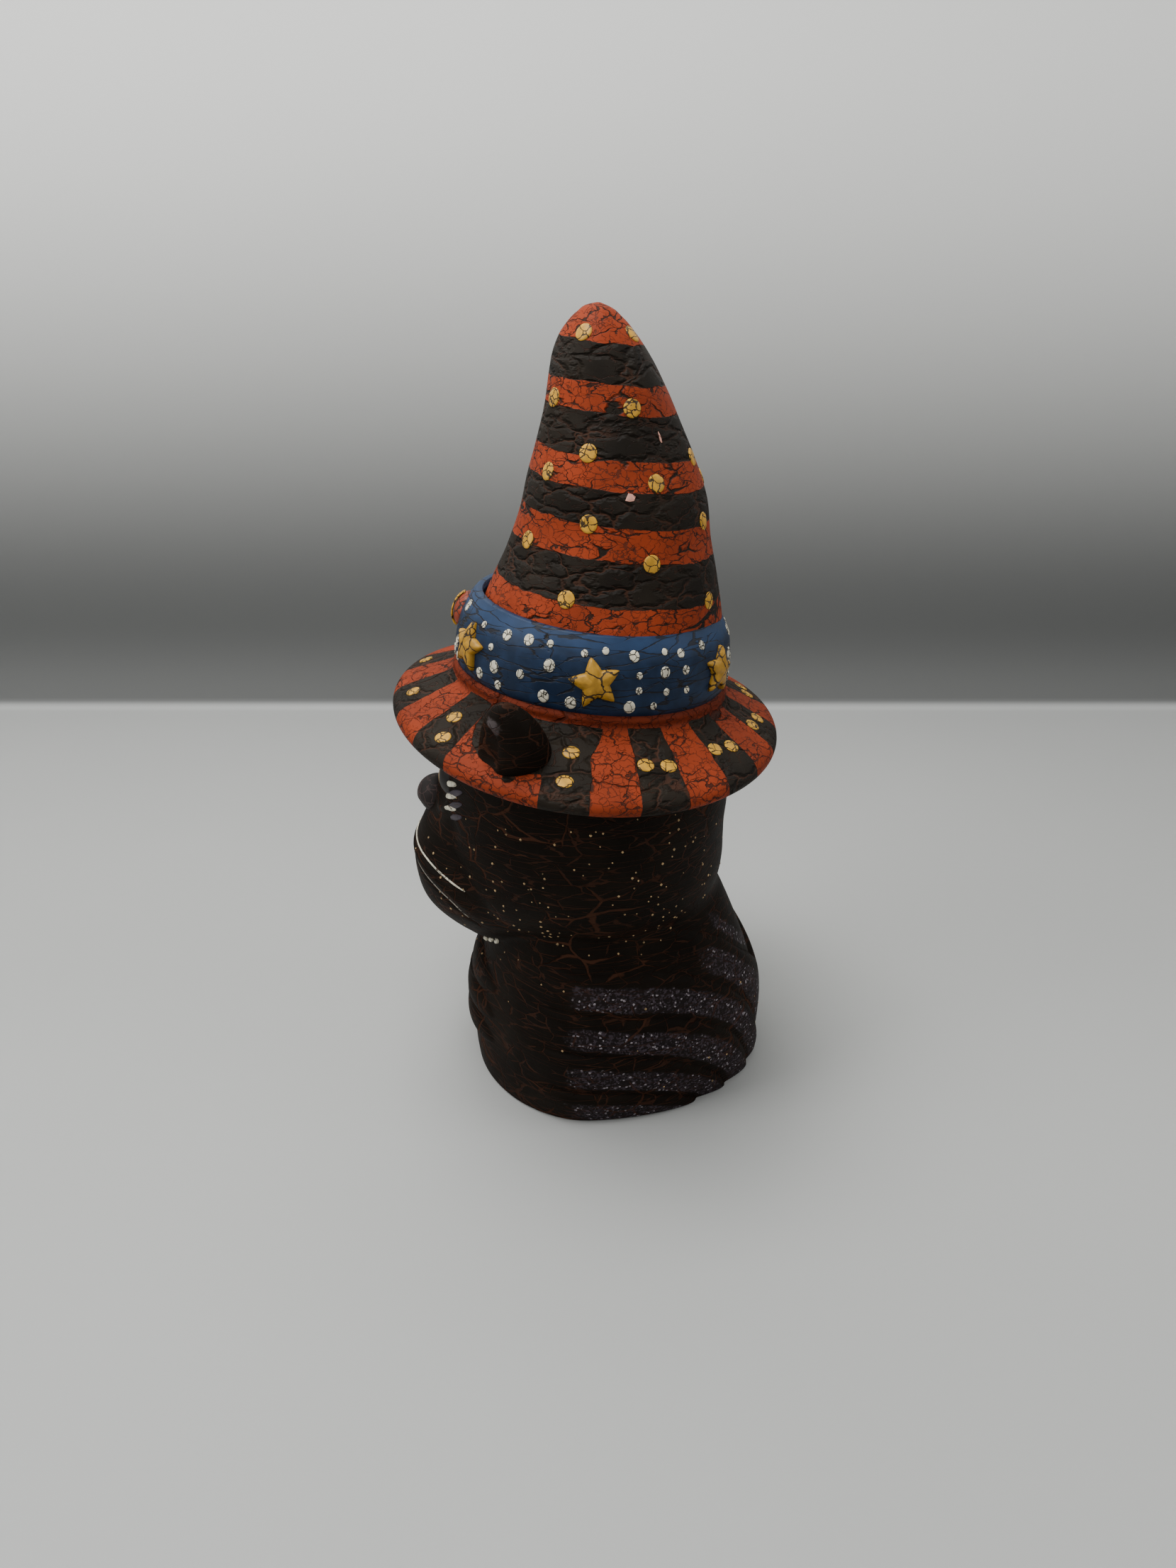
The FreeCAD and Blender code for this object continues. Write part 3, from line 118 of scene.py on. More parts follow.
# ---- shader trees ----------------------------------------------------------------------------------------
class Number:
    """A number in a shader tree. Arithmetic on it adds Math nodes."""

    def __init__(self, paint, socket):
        self.paint, self.socket = paint, socket

    def math(self, operation, other, swap=False):
        terms = (other, self) if swap else (self, other)
        node = self.paint.node("ShaderNodeMath", {"operation": operation}, dict(enumerate(terms)))
        return Number(self.paint, node.outputs[0])

    def __add__(self, other):
        return self.math("ADD", other)

    def __sub__(self, other):
        return self.math("SUBTRACT", other)

    def __rsub__(self, other):
        return self.math("SUBTRACT", other, swap=True)

    def __mul__(self, other):
        return self.math("MULTIPLY", other)

    def __truediv__(self, other):
        return self.math("DIVIDE", other)

    __radd__ = __add__
    __rmul__ = __mul__


class Paint:
    """One material's shader tree, ending in a Principled shader."""

    def __init__(self, name):
        self.material = bpy.data.materials.new(name)
        self.material.use_nodes = True
        self.tree = self.material.node_tree
        self.tree.nodes.clear()
        self.place = self.node("ShaderNodeTexCoord", {}, {}).outputs["Object"]

    def node(self, kind, settings, inputs):
        node = self.tree.nodes.new(kind)
        for name, value in settings.items():
            setattr(node, name, value)
        for key, value in inputs.items():
            source = value.socket if isinstance(value, Number) else value
            if isinstance(source, bpy.types.NodeSocket):
                self.tree.links.new(source, node.inputs[key])
            else:
                node.inputs[key].default_value = source
        return node

    def vector(self, operation, first, second):
        node = self.node("ShaderNodeVectorMath", {"operation": operation}, {0: first, 1: second})
        return node.outputs[0]

    def smooth(self, value, low, high):
        """0 below low and 1 above high, eased between."""
        ease = {"interpolation_type": "SMOOTHSTEP"}
        node = self.node("ShaderNodeMapRange", ease, {"Value": value, "From Min": low, "From Max": high})
        return Number(self, node.outputs[0])

    def mix(self, factor, first, second):
        """One colour over another by a factor."""
        first, second = [tuple(c) + (1.0,) if not hasattr(c, "links") else c for c in (first, second)]
        node = self.node("ShaderNodeMix", {"data_type": "RGBA"}, {0: factor, 6: first, 7: second})
        return node.outputs[2]

    def attribute(self, name):
        node = self.node("ShaderNodeAttribute", {"attribute_name": name}, {})
        return Number(self, node.outputs["Fac"])

    def noise(self, size, detail=3.0, at=None):
        """Soft noise from 0 to 1 with features of about this size, in metres."""
        inputs = {"Vector": at or self.place, "Scale": 1 / size, "Detail": detail}
        return Number(self, self.node("ShaderNodeTexNoise", {}, inputs).outputs[0])

    def cells(self, size, stretch=(1, 1, 1), wander=0.3, seed=0.0):
        """(distance to the nearest crack in cells, the same place's slow swell from 0 to 1)."""
        at = self.vector("MULTIPLY", self.place, [s / size for s in stretch])
        at = self.vector("ADD", at, (seed, 1.7 * seed, 0.6 * seed))
        drift = self.node("ShaderNodeTexNoise", {}, {"Vector": at, "Scale": 1.4, "Detail": 3.0}).outputs["Color"]
        drift = self.vector("SUBTRACT", drift, (0.5, 0.5, 0.5))
        at_bent = self.vector("ADD", at, self.vector("MULTIPLY", drift, (2 * wander,) * 3))
        edge = self.node("ShaderNodeTexVoronoi", {"feature": "DISTANCE_TO_EDGE"}, {"Vector": at_bent, "Scale": 1.0})
        swell = self.node("ShaderNodeTexNoise", {}, {"Vector": at, "Scale": 0.8, "Detail": 2.0})
        return Number(self, edge.outputs["Distance"]), Number(self, swell.outputs[0])

    def cracks(self, size, width, stretch=(1, 1, 1), wander=0.3, seed=0.0, gaps=0.25):
        """1 in the cracks between cells of this size, 0 on the cells. More gaps, from 0 to 1, leave fewer cracks."""
        edge, swell = self.cells(size, stretch, wander, seed)
        half = self.smooth(swell, gaps, gaps + 0.28) * (0.62 * width / size)
        return self.smooth(half - edge, 0.0, 0.30 * width / size)

    def finish(self, colour, roughness, height=None, depth=0.3 * MM, metallic=0.0, coat=0.0, sheen=0.5):
        inputs = {"Base Color": colour, "Roughness": roughness, "Metallic": metallic, "Coat Weight": coat,
                  "Specular IOR Level": sheen}
        if height is not None:
            bump = self.node("ShaderNodeBump", {}, {"Height": height, "Distance": depth, "Strength": 1.0})
            inputs["Normal"] = bump.outputs["Normal"]
        shader = self.node("ShaderNodeBsdfPrincipled", {}, inputs)
        self.node("ShaderNodeOutputMaterial", {}, {"Surface": shader.outputs[0]})
        return self.material


def shade(colour, factor):
    return tuple(channel * factor for channel in colour)


def cast_paint(name, colours, glitter=False, tip_wear_and_highlight=False):
    """Matte charcoal crackle over red-brown, with purple glitter and painted glints, or a paler painted highlight with
    some wear at a tip, where an attribute asks for it.
    """
    paint = Paint(name)
    wide = paint.cracks(20 * MM, 1.25 * MM, (0.9, 0.9, 1.25), 0.16, 3.0, gaps=0.40)
    middle = paint.cracks(9 * MM, 0.60 * MM, (0.7, 0.7, 1.6), 0.16, 8.0, gaps=0.34)
    fine = paint.cracks(7 * MM, 0.42 * MM, (0.22, 0.22, 3.0), 0.12, 5.0, gaps=0.26)
    blotch = paint.noise(22 * MM, 4.0)
    grain = paint.noise(0.9 * MM, 3.0)
    coat = paint.mix(paint.smooth(blotch, 0.35, 0.7), shade(colours.charcoal, 0.72), shade(colours.charcoal, 1.45))
    coat = paint.mix(grain * 0.35, coat, shade(colours.charcoal, 1.9))
    lines = fine * (1 - middle) * 0.75 + middle * 0.85
    colour = paint.mix(lines, coat, shade(colours.undercoat, 0.80))
    colour = paint.mix(wide, colour, colours.undercoat)
    height = 1 - wide * 0.9 - middle * 0.6 - fine * 0.35 + grain * 0.10 + blotch * 0.2
    roughness = 0.52 + grain * 0.18 + wide * 0.15
    if tip_wear_and_highlight:
        # painted highlight and wear: where the tip's mask is set, the paint turns a paler grey
        wear_and_highlight = paint.smooth(paint.attribute("tip_wear_and_highlight") + (paint.noise(1.6 * MM, 4.0) - 0.5) * 0.8, 0.55, 0.95)
        colour = paint.mix(wear_and_highlight * 0.6, colour, (0.11, 0.09, 0.09))
    if glitter:
        where = paint.attribute("glitter")
        torn = where + (paint.noise(5 * MM, 4.0) - 0.5) * 0.9
        patch = paint.smooth(torn, 0.38, 0.95)
        flake = paint.node("ShaderNodeTexVoronoi", {}, {"Vector": paint.place, "Scale": 1 / (0.75 * MM)})
        pick = Number(paint, paint.node("ShaderNodeSeparateColor", {}, {0: flake.outputs["Color"]}).outputs[0])
        bright = paint.smooth(pick, 0.45, 1.0)
        colour = paint.mix(patch * (bright * 0.70 + 0.10), colour, colours.glitter)
        # painted glints: the brightest glitter flecks are coloured pale grey to stand in for their sparkle
        painted_glint = paint.smooth(pick, 0.955, 0.98) * patch
        colour = paint.mix(painted_glint * 0.8, colour, (0.34, 0.30, 0.32))
        height = height + bright * patch * 0.25
        roughness = roughness - painted_glint * 0.3
    return paint.finish(colour, roughness, height, 0.55 * MM, sheen=0.06)


def hat_paint(colours):
    """Orange and charcoal stripes. The attribute stripe is the distance into a dark stripe, in metres."""
    paint = Paint("hat_stripes_crackled")
    ragged = (paint.noise(9 * MM, 4.0) - 0.5) * (2.6 * MM)
    into = paint.attribute("stripe") + ragged
    dark = paint.smooth(into, -0.15 * MM, 0.15 * MM)
    blotch = paint.noise(16 * MM, 4.0)
    grain = paint.noise(0.8 * MM, 3.0)
    # charcoal stripes: raised cushions between wandering furrows
    edge, swell = paint.cells(12.5 * MM, (0.85, 0.85, 1.75), 0.5, 2.0)
    cushion = paint.smooth(edge, 0.0, 0.17)
    furrow = 1 - paint.smooth(edge, 0.012, 0.05)
    small = paint.cracks(5.5 * MM, 0.40 * MM, (0.7, 0.7, 1.8), 0.4, 6.0, gaps=0.32)
    black = paint.mix(paint.smooth(blotch, 0.3, 0.7), shade(colours.stripe, 0.75), shade(colours.stripe, 1.35))
    black = paint.mix(furrow * paint.smooth(swell, 0.35, 0.6) * 0.8, black, shade(colours.undercoat, 1.1))
    black = paint.mix(small * 0.6, black, shade(colours.undercoat, 0.8))
    # orange stripes: brick-like cells with dark cracks, a few of them wide
    wide = paint.cracks(18 * MM, 2.3 * MM, (0.8, 0.8, 1.7), 0.45, 11.0, gaps=0.44)
    brick = paint.cracks(7.5 * MM, 0.55 * MM, (0.8, 0.8, 1.6), 0.5, 14.0, gaps=0.33)
    hair = paint.cracks(3.4 * MM, 0.26 * MM, (1, 1, 1.2), 0.5, 17.0, gaps=0.30)
    light = paint.mix(paint.smooth(blotch, 0.3, 0.75), shade(colours.orange, 0.78), shade(colours.orange, 1.12))
    light = paint.mix(hair * 0.6, light, shade(colours.stripe, 1.6))
    light = paint.mix(brick * 0.9, light, shade(colours.stripe, 1.1))
    light = paint.mix(wide, light, shade(colours.stripe, 1.2))
    # painted shade: the orange is darkened over the brim, most of all just under the band
    light = paint.mix(paint.attribute("painted_brim_shade"), light, shade(colours.orange, 0.30))
    colour = paint.mix(dark, light, black)
    lift_dark = cushion * 1.15 - small * 0.35
    lift_light = 1.0 - wide * 0.85 - brick * 0.6 - hair * 0.25
    height = dark * lift_dark + (1 - dark) * lift_light + grain * 0.07
    return paint.finish(colour, 0.50 + grain * 0.16 + blotch * 0.1, height, 0.95 * MM, sheen=0.11)


def band_paint(colours):
    """Navy with hairline level cracks, paler along the upper edge: painted highlight on the bevel, with some wear."""
    paint = Paint("band_navy_crackled")
    fine = paint.cracks(7.5 * MM, 0.62 * MM, (0.40, 0.40, 2.3), 0.25, 4.0, gaps=0.28)
    stray = paint.cracks(15 * MM, 0.9 * MM, (0.8, 0.8, 1.4), 0.4, 9.0, gaps=0.42)
    brush = paint.noise(6 * MM, 5.0)
    wear_and_highlight = paint.attribute("wear_and_highlight")
    colour = paint.mix(paint.smooth(brush, 0.35, 0.7), shade(colours.navy, 0.75), shade(colours.navy, 1.25))
    # painted highlight and wear: the upper bevel is painted a paler navy
    colour = paint.mix(wear_and_highlight * (0.35 + brush * 0.65), colour, shade(colours.navy, 2.2))
    lines = fine * 0.8 + stray * 0.6
    colour = paint.mix(lines, colour, shade(colours.stripe, 0.75))
    height = 1 - fine * 0.5 - stray * 0.6 + brush * 0.2
    return paint.finish(colour, 0.42 + brush * 0.18, height, 0.35 * MM, sheen=0.22)


def dab_paint(name, colour, crack_colour, cell, width, gloss=0.35):
    """Thick paint of one colour, crazed with dark lines."""
    paint = Paint(name)
    lines = paint.cracks(cell, width, (1, 1, 1.1), 0.35, 7.0, gaps=0.0)
    tone = paint.noise(2.5 * MM, 4.0)
    mottled = paint.mix(paint.smooth(tone, 0.3, 0.75), shade(colour, 0.72), shade(colour, 1.12))
    return paint.finish(paint.mix(lines * 0.95, mottled, crack_colour), gloss + tone * 0.2, 1 - lines, 0.25 * MM,
                        sheen=0.3)


def worked_finish(name, colour, roughness, metallic=0.0, grain=0.5 * MM, drawn=(1, 1, 1), depth=0.02 * MM):
    """A moulded, turned or plated surface, with grain along its length where it is drawn."""
    paint = Paint(name)
    at = paint.vector("MULTIPLY", paint.place, drawn)
    fine, broad = paint.noise(grain, 3.0, at), paint.noise(12 * MM, 2.0)
    tone = paint.mix(broad * 0.6 + fine * 0.4, shade(colour, 0.82), shade(colour, 1.15))
    rough = roughness - 0.08 + fine * 0.12 + broad * 0.06
    return paint.finish(tone, rough, fine, depth, metallic)


# ---- mesh helpers ----------------------------------------------------------------------------------------
def on_hat(x, y, height):
    """World places, in millimetres, of points given across, along and up the leaning hat axis."""
    x, y, height = np.broadcast_arrays(x, y, height)
    sin, cos = math.sin(LEAN), math.cos(LEAN)
    return np.stack([PIVOT[0] + x, PIVOT[1] + y * cos + height * sin, PIVOT[2] - y * sin + height * cos], -1)


def curve_through(rows, at):
    """Columns of a table at any value of its first column, by a smooth curve through its rows."""
    rows = np.array(sorted(rows), float)
    x, values = rows[:, 0], rows[:, 1:]
    slope = np.gradient(values, x, axis=0)
    at = np.asarray(at, float)
    i = np.clip(np.searchsorted(x, at) - 1, 0, len(x) - 2)
    step = (x[i + 1] - x[i])[..., None]
    t = np.clip((at - x[i])[..., None] / step, 0, 1)
    start, end = 2 * t**3 - 3 * t**2 + 1, 3 * t**2 - 2 * t**3
    leave, arrive = t**3 - 2 * t**2 + t, t**3 - t**2
    out = start * values[i] + end * values[i + 1] + step * (leave * slope[i] + arrive * slope[i + 1])
    return np.moveaxis(out, -1, 0)


def eased(value, low, high):
    t = np.clip((np.asarray(value, float) - low) / (high - low), 0, 1)
    return t * t * (3 - 2 * t)


def new_piece(name, places, faces, material, smooth=True):
    """An object at the origin from places in millimetres, with its faces turned outwards."""
    places = np.asarray(places, float).reshape(-1, 3) * MM
    mesh = bpy.data.meshes.new(name)
    mesh.from_pydata(places.tolist(), [], [list(face) for face in faces])
    mesh.validate()
    tris = [(f[0], f[i], f[i + 1]) for f in faces for i in range(1, len(f) - 1)]
    a, b, c = (places[[t[k] for t in tris]] for k in range(3))
    if np.einsum("ij,ij->i", a, np.cross(b, c)).sum() < 0:
        mesh.flip_normals()
    mesh.polygons.foreach_set("use_smooth", [smooth] * len(mesh.polygons))
    mesh.materials.append(material)
    piece = bpy.data.objects.new(name, mesh)
    bpy.context.scene.collection.objects.link(piece)
    return piece


def ring_faces(rows, columns, joined=False):
    """Quads between rings of points. A joined stack closes its last ring on to its first."""
    faces = []
    for i in range(rows if joined else rows - 1):
        above = (i + 1) % rows
        for j in range(columns):
            k = (j + 1) % columns
            faces.append((i * columns + j, i * columns + k, above * columns + k, above * columns + j))
    return faces


def capped_faces(rows, columns):
    """Quads between rings, with a fan from a last point but one under the first ring and a last point over the top."""
    faces = ring_faces(rows, columns)
    foot, top = rows * columns, rows * columns + 1
    last = (rows - 1) * columns
    for j in range(columns):
        k = (j + 1) % columns
        faces += [(foot, k, j), (top, last + j, last + k)]
    return faces


def set_attribute(piece, name, values):
    layer = piece.data.attributes.new(name, "FLOAT", "POINT")
    layer.data.foreach_set("value", np.asarray(values, dtype=np.float32).ravel())


def belongs(piece, body, *replaced, slot=None):
    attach(piece, body)
    if replaced:
        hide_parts(*replaced)


# ---- the bust's form -------------------------------------------------------------------------------------
# height, reach forwards, reach backwards, half width
BODY_ROWS = [(0, 49.4, 75.6, 56), (9, 50.3, 76.4, 57.5), (19, 50.0, 76.3, 58.5), (29, 49.8, 75.7, 58.5),
             (38, 49.2, 74.3, 57.8), (48, 46.6, 71.6, 56.2), (57, 44.5, 68.5, 54.5), (66, 41.5, 65, 52.5),
             (75, 38, 61.2, 50.2), (84, 34, 57, 47), (93, 30, 51, 42.5), (102, 25, 44, 37),
             (112, 19, 36, 30), (124, 8, 24, 18), (136, 2, 8, 5)]
HEAD_ROWS = [(40, 5, 2, 2), (48, 22, 12, 6), (57, 36, 25, 12), (66, 43, 36, 24), (75, 50, 45, 36),
             (84, 55.8, 52, 47.5), (93, 57.5, 54.8, 55.5), (101, 58.3, 55.7, 59.5), (110, 58.5, 55.6, 61.5),
             (118, 59, 55.6, 62.3), (126, 59, 56.2, 62.3), (140, 58.4, 56.2, 61.4), (150, 57.6, 56.6, 60.6),
             (170, 57.4, 56.8, 60.2)]
# height, reach beyond the head, half angle
MUZZLE_ROWS = [(44, 2, 30), (57, 9.5, 36), (66, 12.8, 40), (75, 13.6, 42), (84, 13.6, 41), (93, 14, 39),
               (101, 13.6, 36), (107, 12.4, 32), (113, 9.6, 27), (120, 5.2, 25), (127, 2, 24), (136, 0, 24), (170, 0, 24)]
# each ledge's upper edge: bearing from the front, height
LEDGES = [[(112, 90), (126, 84), (140, 78), (155, 70), (168, 56), (180, 44)],
          [(60, 73), (89, 71), (126, 65), (143, 57), (153, 48), (162, 34), (171, 14), (180, -8)],
          [(60, 55), (81, 54), (107, 50), (126, 46), (141, 38), (151, 28), (159, 13), (166, -4), (180, -40)],
          [(60, 37), (83, 36), (108, 32), (124, 27), (136, 19), (146, 8), (153, -4), (180, -60)],
          [(60, 19), (86, 17), (107, 14), (122, 9), (134, 3), (142, -4), (180, -70)]]
PAW_HEIGHTS = (47.5, 35.5, 23.5)
EYE_BEARING, EYE_HEIGHT = 17.0, 138.3


def oval_reach(rows, height, bearing):
    front, back, half = curve_through(rows, height)
    reach = np.where(np.cos(bearing) > 0, front, back)
    return 1 / np.sqrt((np.sin(bearing) / half)**2 + (np.cos(bearing) / reach)**2)


def ledge_relief(height, away):
    """(relief from 0 to 1, glitter from 0 to 1) of the stepped ledges. away is degrees from the front."""
    line_at = LEDGES
    edges = [curve_through(line, away)[0] for line in LEDGES]
    relief, glitter = np.zeros_like(height), np.zeros_like(height)
    for k, edge in enumerate(edges):
        below = edges[k + 1] if k + 1 < len(edges) else edge - 18.0
        tilt = curve_through(line_at[k], away + 0.5)[0] - curve_through(line_at[k], away - 0.5)[0]
        square = 1 / np.sqrt(1 + (tilt / 1.05)**2)
        depth = (edge - height) * square
        thickness = np.maximum((edge - below) * square, 2.0)
        share = np.clip(depth / thickness, 0, 1)
        here = (edge >= height) & (below < height)
        start = 118.0 if k == 0 else 60.0
        fade = eased(away, start, start + 24)
        step = (1 - np.exp(-np.clip(depth, 0, None) / 1.3)) * (1 - 0.85 * share**1.5)
        relief = np.where(here, step * fade, relief)
        shine = eased(share, 0.14, 0.34) * (1 - eased(share, 0.78, 0.95)) * eased(away, start + 14, start + 30)
        glitter = np.where(here, shine, glitter)
    top = edges[0]
    above = (height > top) & (height < top + 16)
    crown = eased(height, top + 1, top + 5) * (1 - eased(height, top + 9, top + 14)) * eased(away, 146, 160)
    glitter = np.where(above, 0.9 * crown, glitter)
    return relief, glitter


def mouth_height(away):
    return curve_through([(0, 108), (10, 107.4), (20, 106), (30, 103.4), (40, 100.6), (60, 99)], away)[0]


def jaw_height(away):
    return curve_through([(0, 103), (10, 101.8), (20, 99), (28, 95.6), (34, 91.5), (39, 85), (60, 70)], away)[0]


def bust_reach(height, bearing, form):
    """(reach from the upright axis, glitter) at a height and a bearing from the front, in radians."""
    away = np.degrees(np.abs(bearing))
    body = oval_reach(BODY_ROWS, height, bearing)
    ledges, glitter = ledge_relief(height, away)
    body += (ledges - 0.62 * eased(away, 80, 130)) * form.ledge_relief / MM
    for centre in PAW_HEIGHTS:
        span = (away / 40)**2 + ((height - centre) / 6.9)**2
        body += form.paw_relief / MM * np.sqrt(np.clip(1 - span, 0, 1)) * (1 - 0.35 * eased(away, 12, 38))
    fold = np.exp(-((away - 47) / 13)**2) * np.exp(-((height - 30) / 24)**2)
    body -= 1.2 * fold
    reach, half_angle = curve_through(MUZZLE_ROWS, height)
    head = oval_reach(HEAD_ROWS, height, bearing)
    head += reach * np.exp(-np.abs(away / half_angle)**2.6)
    # lips, cheek fold, chin tip and the rim round each eye
    mouth, jaw = mouth_height(away), jaw_height(away)
    lips = 1 - eased(away, 38, 44)
    head -= 1.0 * np.exp(-((height - mouth + 0.8) / 0.9)**2) * lips
    head -= 0.8 * np.exp(-((height - jaw) / 0.9)**2) * lips
    head += 0.9 * np.exp(-((height - 0.5 * (mouth + jaw)) / 2.6)**2) * lips
    head -= 0.9 * np.exp(-((away - 1.25 * half_angle) / 5)**2) * eased(height, 84, 92) * (1 - eased(height, 124, 132))
    head += 2.2 * np.exp(-(away / 13)**2 - ((height - 61) / 4.5)**2)
    across = np.radians(away - EYE_BEARING) * 56
    ring = np.hypot(across, (height - EYE_HEIGHT) * 0.92)
    head += 1.2 * np.exp(-((ring - 10.2) / 1.7)**2) * (1 - 0.4 * eased(height, 128, 146))
    head -= 1.4 * np.exp(-(ring / 8.0)**4)
    head = np.where(height < 44, 0, head)
    body = np.where(height > 128, 0, body)
    blend = 4.5
    near = np.maximum(blend - np.abs(head - body), 0) / blend
    glitter = np.where(body > head - 1.0, glitter, 0)
    return np.maximum(head, body) + 0.25 * blend * near**2, glitter


def seam_height(reach, bearing, drop):
    """Height at which a point this far out on a bearing meets the plane that lies drop below the hat's seat."""
    y = -reach * np.cos(bearing)
    return PIVOT[2] - (drop + (y - PIVOT[1]) * math.sin(LEAN)) / math.cos(LEAN)


def bust_point(height, bearing, form, proud=0.0):
    """World place on the bust, in millimetres, a little proud of its surface."""
    reach = bust_reach(np.asarray(height, float), np.asarray(bearing, float), form)[0] + proud
    return np.stack([reach * np.sin(bearing), -reach * np.cos(bearing), height + 0 * reach], -1)


def make_bust(form, colours):
    columns, rows = form.columns, form.rows
    seam_drop = 0.8
    bearing = np.linspace(-math.pi, math.pi, columns, endpoint=False)[None, :]
    share = np.linspace(0, 1, rows)[:, None]
    top = np.full((1, columns), PIVOT[2])
    for _ in range(4):
        top = seam_height(bust_reach(top, bearing, form)[0], bearing, seam_drop)
    height = share * top
    reach, glitter = bust_reach(height, np.broadcast_to(bearing, height.shape), form)
    edge = np.clip((height - top + 1.6) / 1.6, 0, 1)
    foot = np.clip((1.2 - height) / 1.2, 0, 1)
    reach = reach - 1.6 * (1 - np.sqrt(np.clip(1 - edge**2, 0, 1))) - 1.2 * (1 - np.sqrt(np.clip(1 - foot**2, 0, 1)))
    outer = np.stack([reach * np.sin(bearing), -reach * np.cos(bearing), height], -1)
    turn = bearing[0]
    # the neck ring that the drive plate sits in, then the wall's inside down to the foot
    rings = [outer]
    for radius, drop in ((50.4, 0.8), (50.4, 3.8), (40.0, 3.8), (40.0, 10.8)):
        rings.append(on_hat(radius * np.sin(turn), -radius * np.cos(turn), -drop)[None])
    wall = form.wall / MM
    inner_share = np.linspace(0.90, 0.09, 14)[:, None]
    inner_height = inner_share * top
    inner = oval_reach(HEAD_ROWS, inner_height, bearing)
    inner = np.maximum(inner, oval_reach(BODY_ROWS, np.minimum(inner_height, 130), bearing)) - wall - 1.0
    rings.append(np.stack([inner * np.sin(bearing), -inner * np.cos(bearing), inner_height], -1))
    foot_reach = oval_reach(BODY_ROWS, np.zeros_like(turn), turn)
    for inset, level in ((wall + 7, 13.0), (wall + 7, 5.0), (wall, 5.0), (wall, 0.0)):
        reach_in = foot_reach - inset
        rings.append(np.stack([reach_in * np.sin(turn), -reach_in * np.cos(turn), level + 0 * turn], -1)[None])
    points = np.concatenate(rings)
    piece = new_piece("cat_bust", points, ring_faces(len(points), columns, joined=True),
                      cast_paint("bust_charcoal_crackled", colours, glitter=True))
    values = np.zeros(points.shape[:2])
    values[:rows] = glitter
    set_attribute(piece, "glitter", values)
    belongs(piece, "bust", "bust_shell", slot="cast_black")
    return piece


# ---- the hat's form --------------------------------------------------------------------------------------
# height above the seat, radius, shift forwards
CROWN_ROWS = [(12, 50, 0), (31, 48.0, -0.8), (50.5, 43.4, -2.2), (64, 38.9, -3.5), (76.5, 35.2, -2.9),
              (89, 32.8, -1.9), (102.5, 28.3, 0), (113.5, 24.1, 2.4), (125.5, 20.2, 5.4), (134, 16.6, 7.6),
              (140.5, 12.4, 9.3), (145.5, 7.6, 10.4), (148.2, 3.4, 10.9), (149, 0.6, 11)]
CROWN_TOP = 149.0
# heights at which the crown's paint changes, from the tip down; the tip is orange
STRIPE_EDGES = (137.8, 125.3, 116.7, 103.0, 93.3, 82.0, 70.8, 56.2, 45.4)
EAR_STRIPE = (-41.0, -12.7)          # the wide orange stripe under each ear, degrees from the side
BACK_STRIPES, FRONT_STRIPES = 15, 7


def brim_edges():
    """Bearings, from the figure's left side towards its back, at which the brim's paint changes."""
    low, high = EAR_STRIPE
    back = (180 - 2 * high) / BACK_STRIPES
    edges = [high + i * back for i in range(BACK_STRIPES + 1)]
    front = (180 + 2 * low) / FRONT_STRIPES
    edges += [180 - low + i * front for i in range(FRONT_STRIPES + 1)]
    return edges


def signed_to_edges(values, edges):
    """Distance to the nearest edge, positive after an odd number of edges have been passed."""
    edges = np.asarray(edges)
    gap = np.abs(values[..., None] - edges).min(-1)
    passed = (values[..., None] > edges).sum(-1)
    return np.where(passed % 2 == 1, gap, -gap)


def crown_surface(turn, height):
    radius, shift = curve_through(CROWN_ROWS, height)
    wave = 0.35 * np.sin(3 * turn + height * 0.11) + 0.25 * np.sin(5 * turn - height * 0.17)
    radius = radius + wave * eased(radius, 3, 14)
    return radius * np.sin(turn), -radius * np.cos(turn) - shift


# brim and rolled ring, from the crown's foot to the seat: half width, half depth, height, share of the curl
BRIM_ROWS = [(0.0, 49.6, 49.6, 22.6, 0), (1.0, 51.6, 51.6, 21.2, 0), (2.0, 52.7, 52.7, 19.6, 0),
             (3.0, 52.8, 52.8, 17.6, 0), (4.0, 54.0, 53.6, 16.2, 0), (5.0, 57.2, 56.0, 15.1, 0.08),
             (6.0, 63.0, 60.5, 13.4, 0.30), (7.0, 69.5, 65.2, 11.6, 0.6), (8.0, 75.5, 69.4, 10.0, 0.85),
             (9.0, 80.0, 72.4, 8.6, 0.97), (10.0, 82.8, 74.2, 6.8, 1), (11.0, 83.9, 74.9, 4.6, 1),
             (12.0, 83.2, 74.3, 2.6, 1), (13.0, 80.4, 72.2, 1.3, 1), (14.0, 74.0, 68.0, 0.9, 0.6),
             (15.0, 67.0, 65.5, 0.25, 0.15), (16.0, 60.0, 60.0, 0.0, 0), (17.0, 48.5, 48.5, 0.0, 0)]
END_DROOP, SIDE_DROOP = 1.0, 4.0


def brim_surface(turn, station):
    half, deep, height, curl = curve_through(BRIM_ROWS, station)
    droop = END_DROOP * np.cos(turn)**2 + SIDE_DROOP * np.sin(turn)**2
    return half * np.sin(turn), -deep * np.cos(turn), height - curl * droop


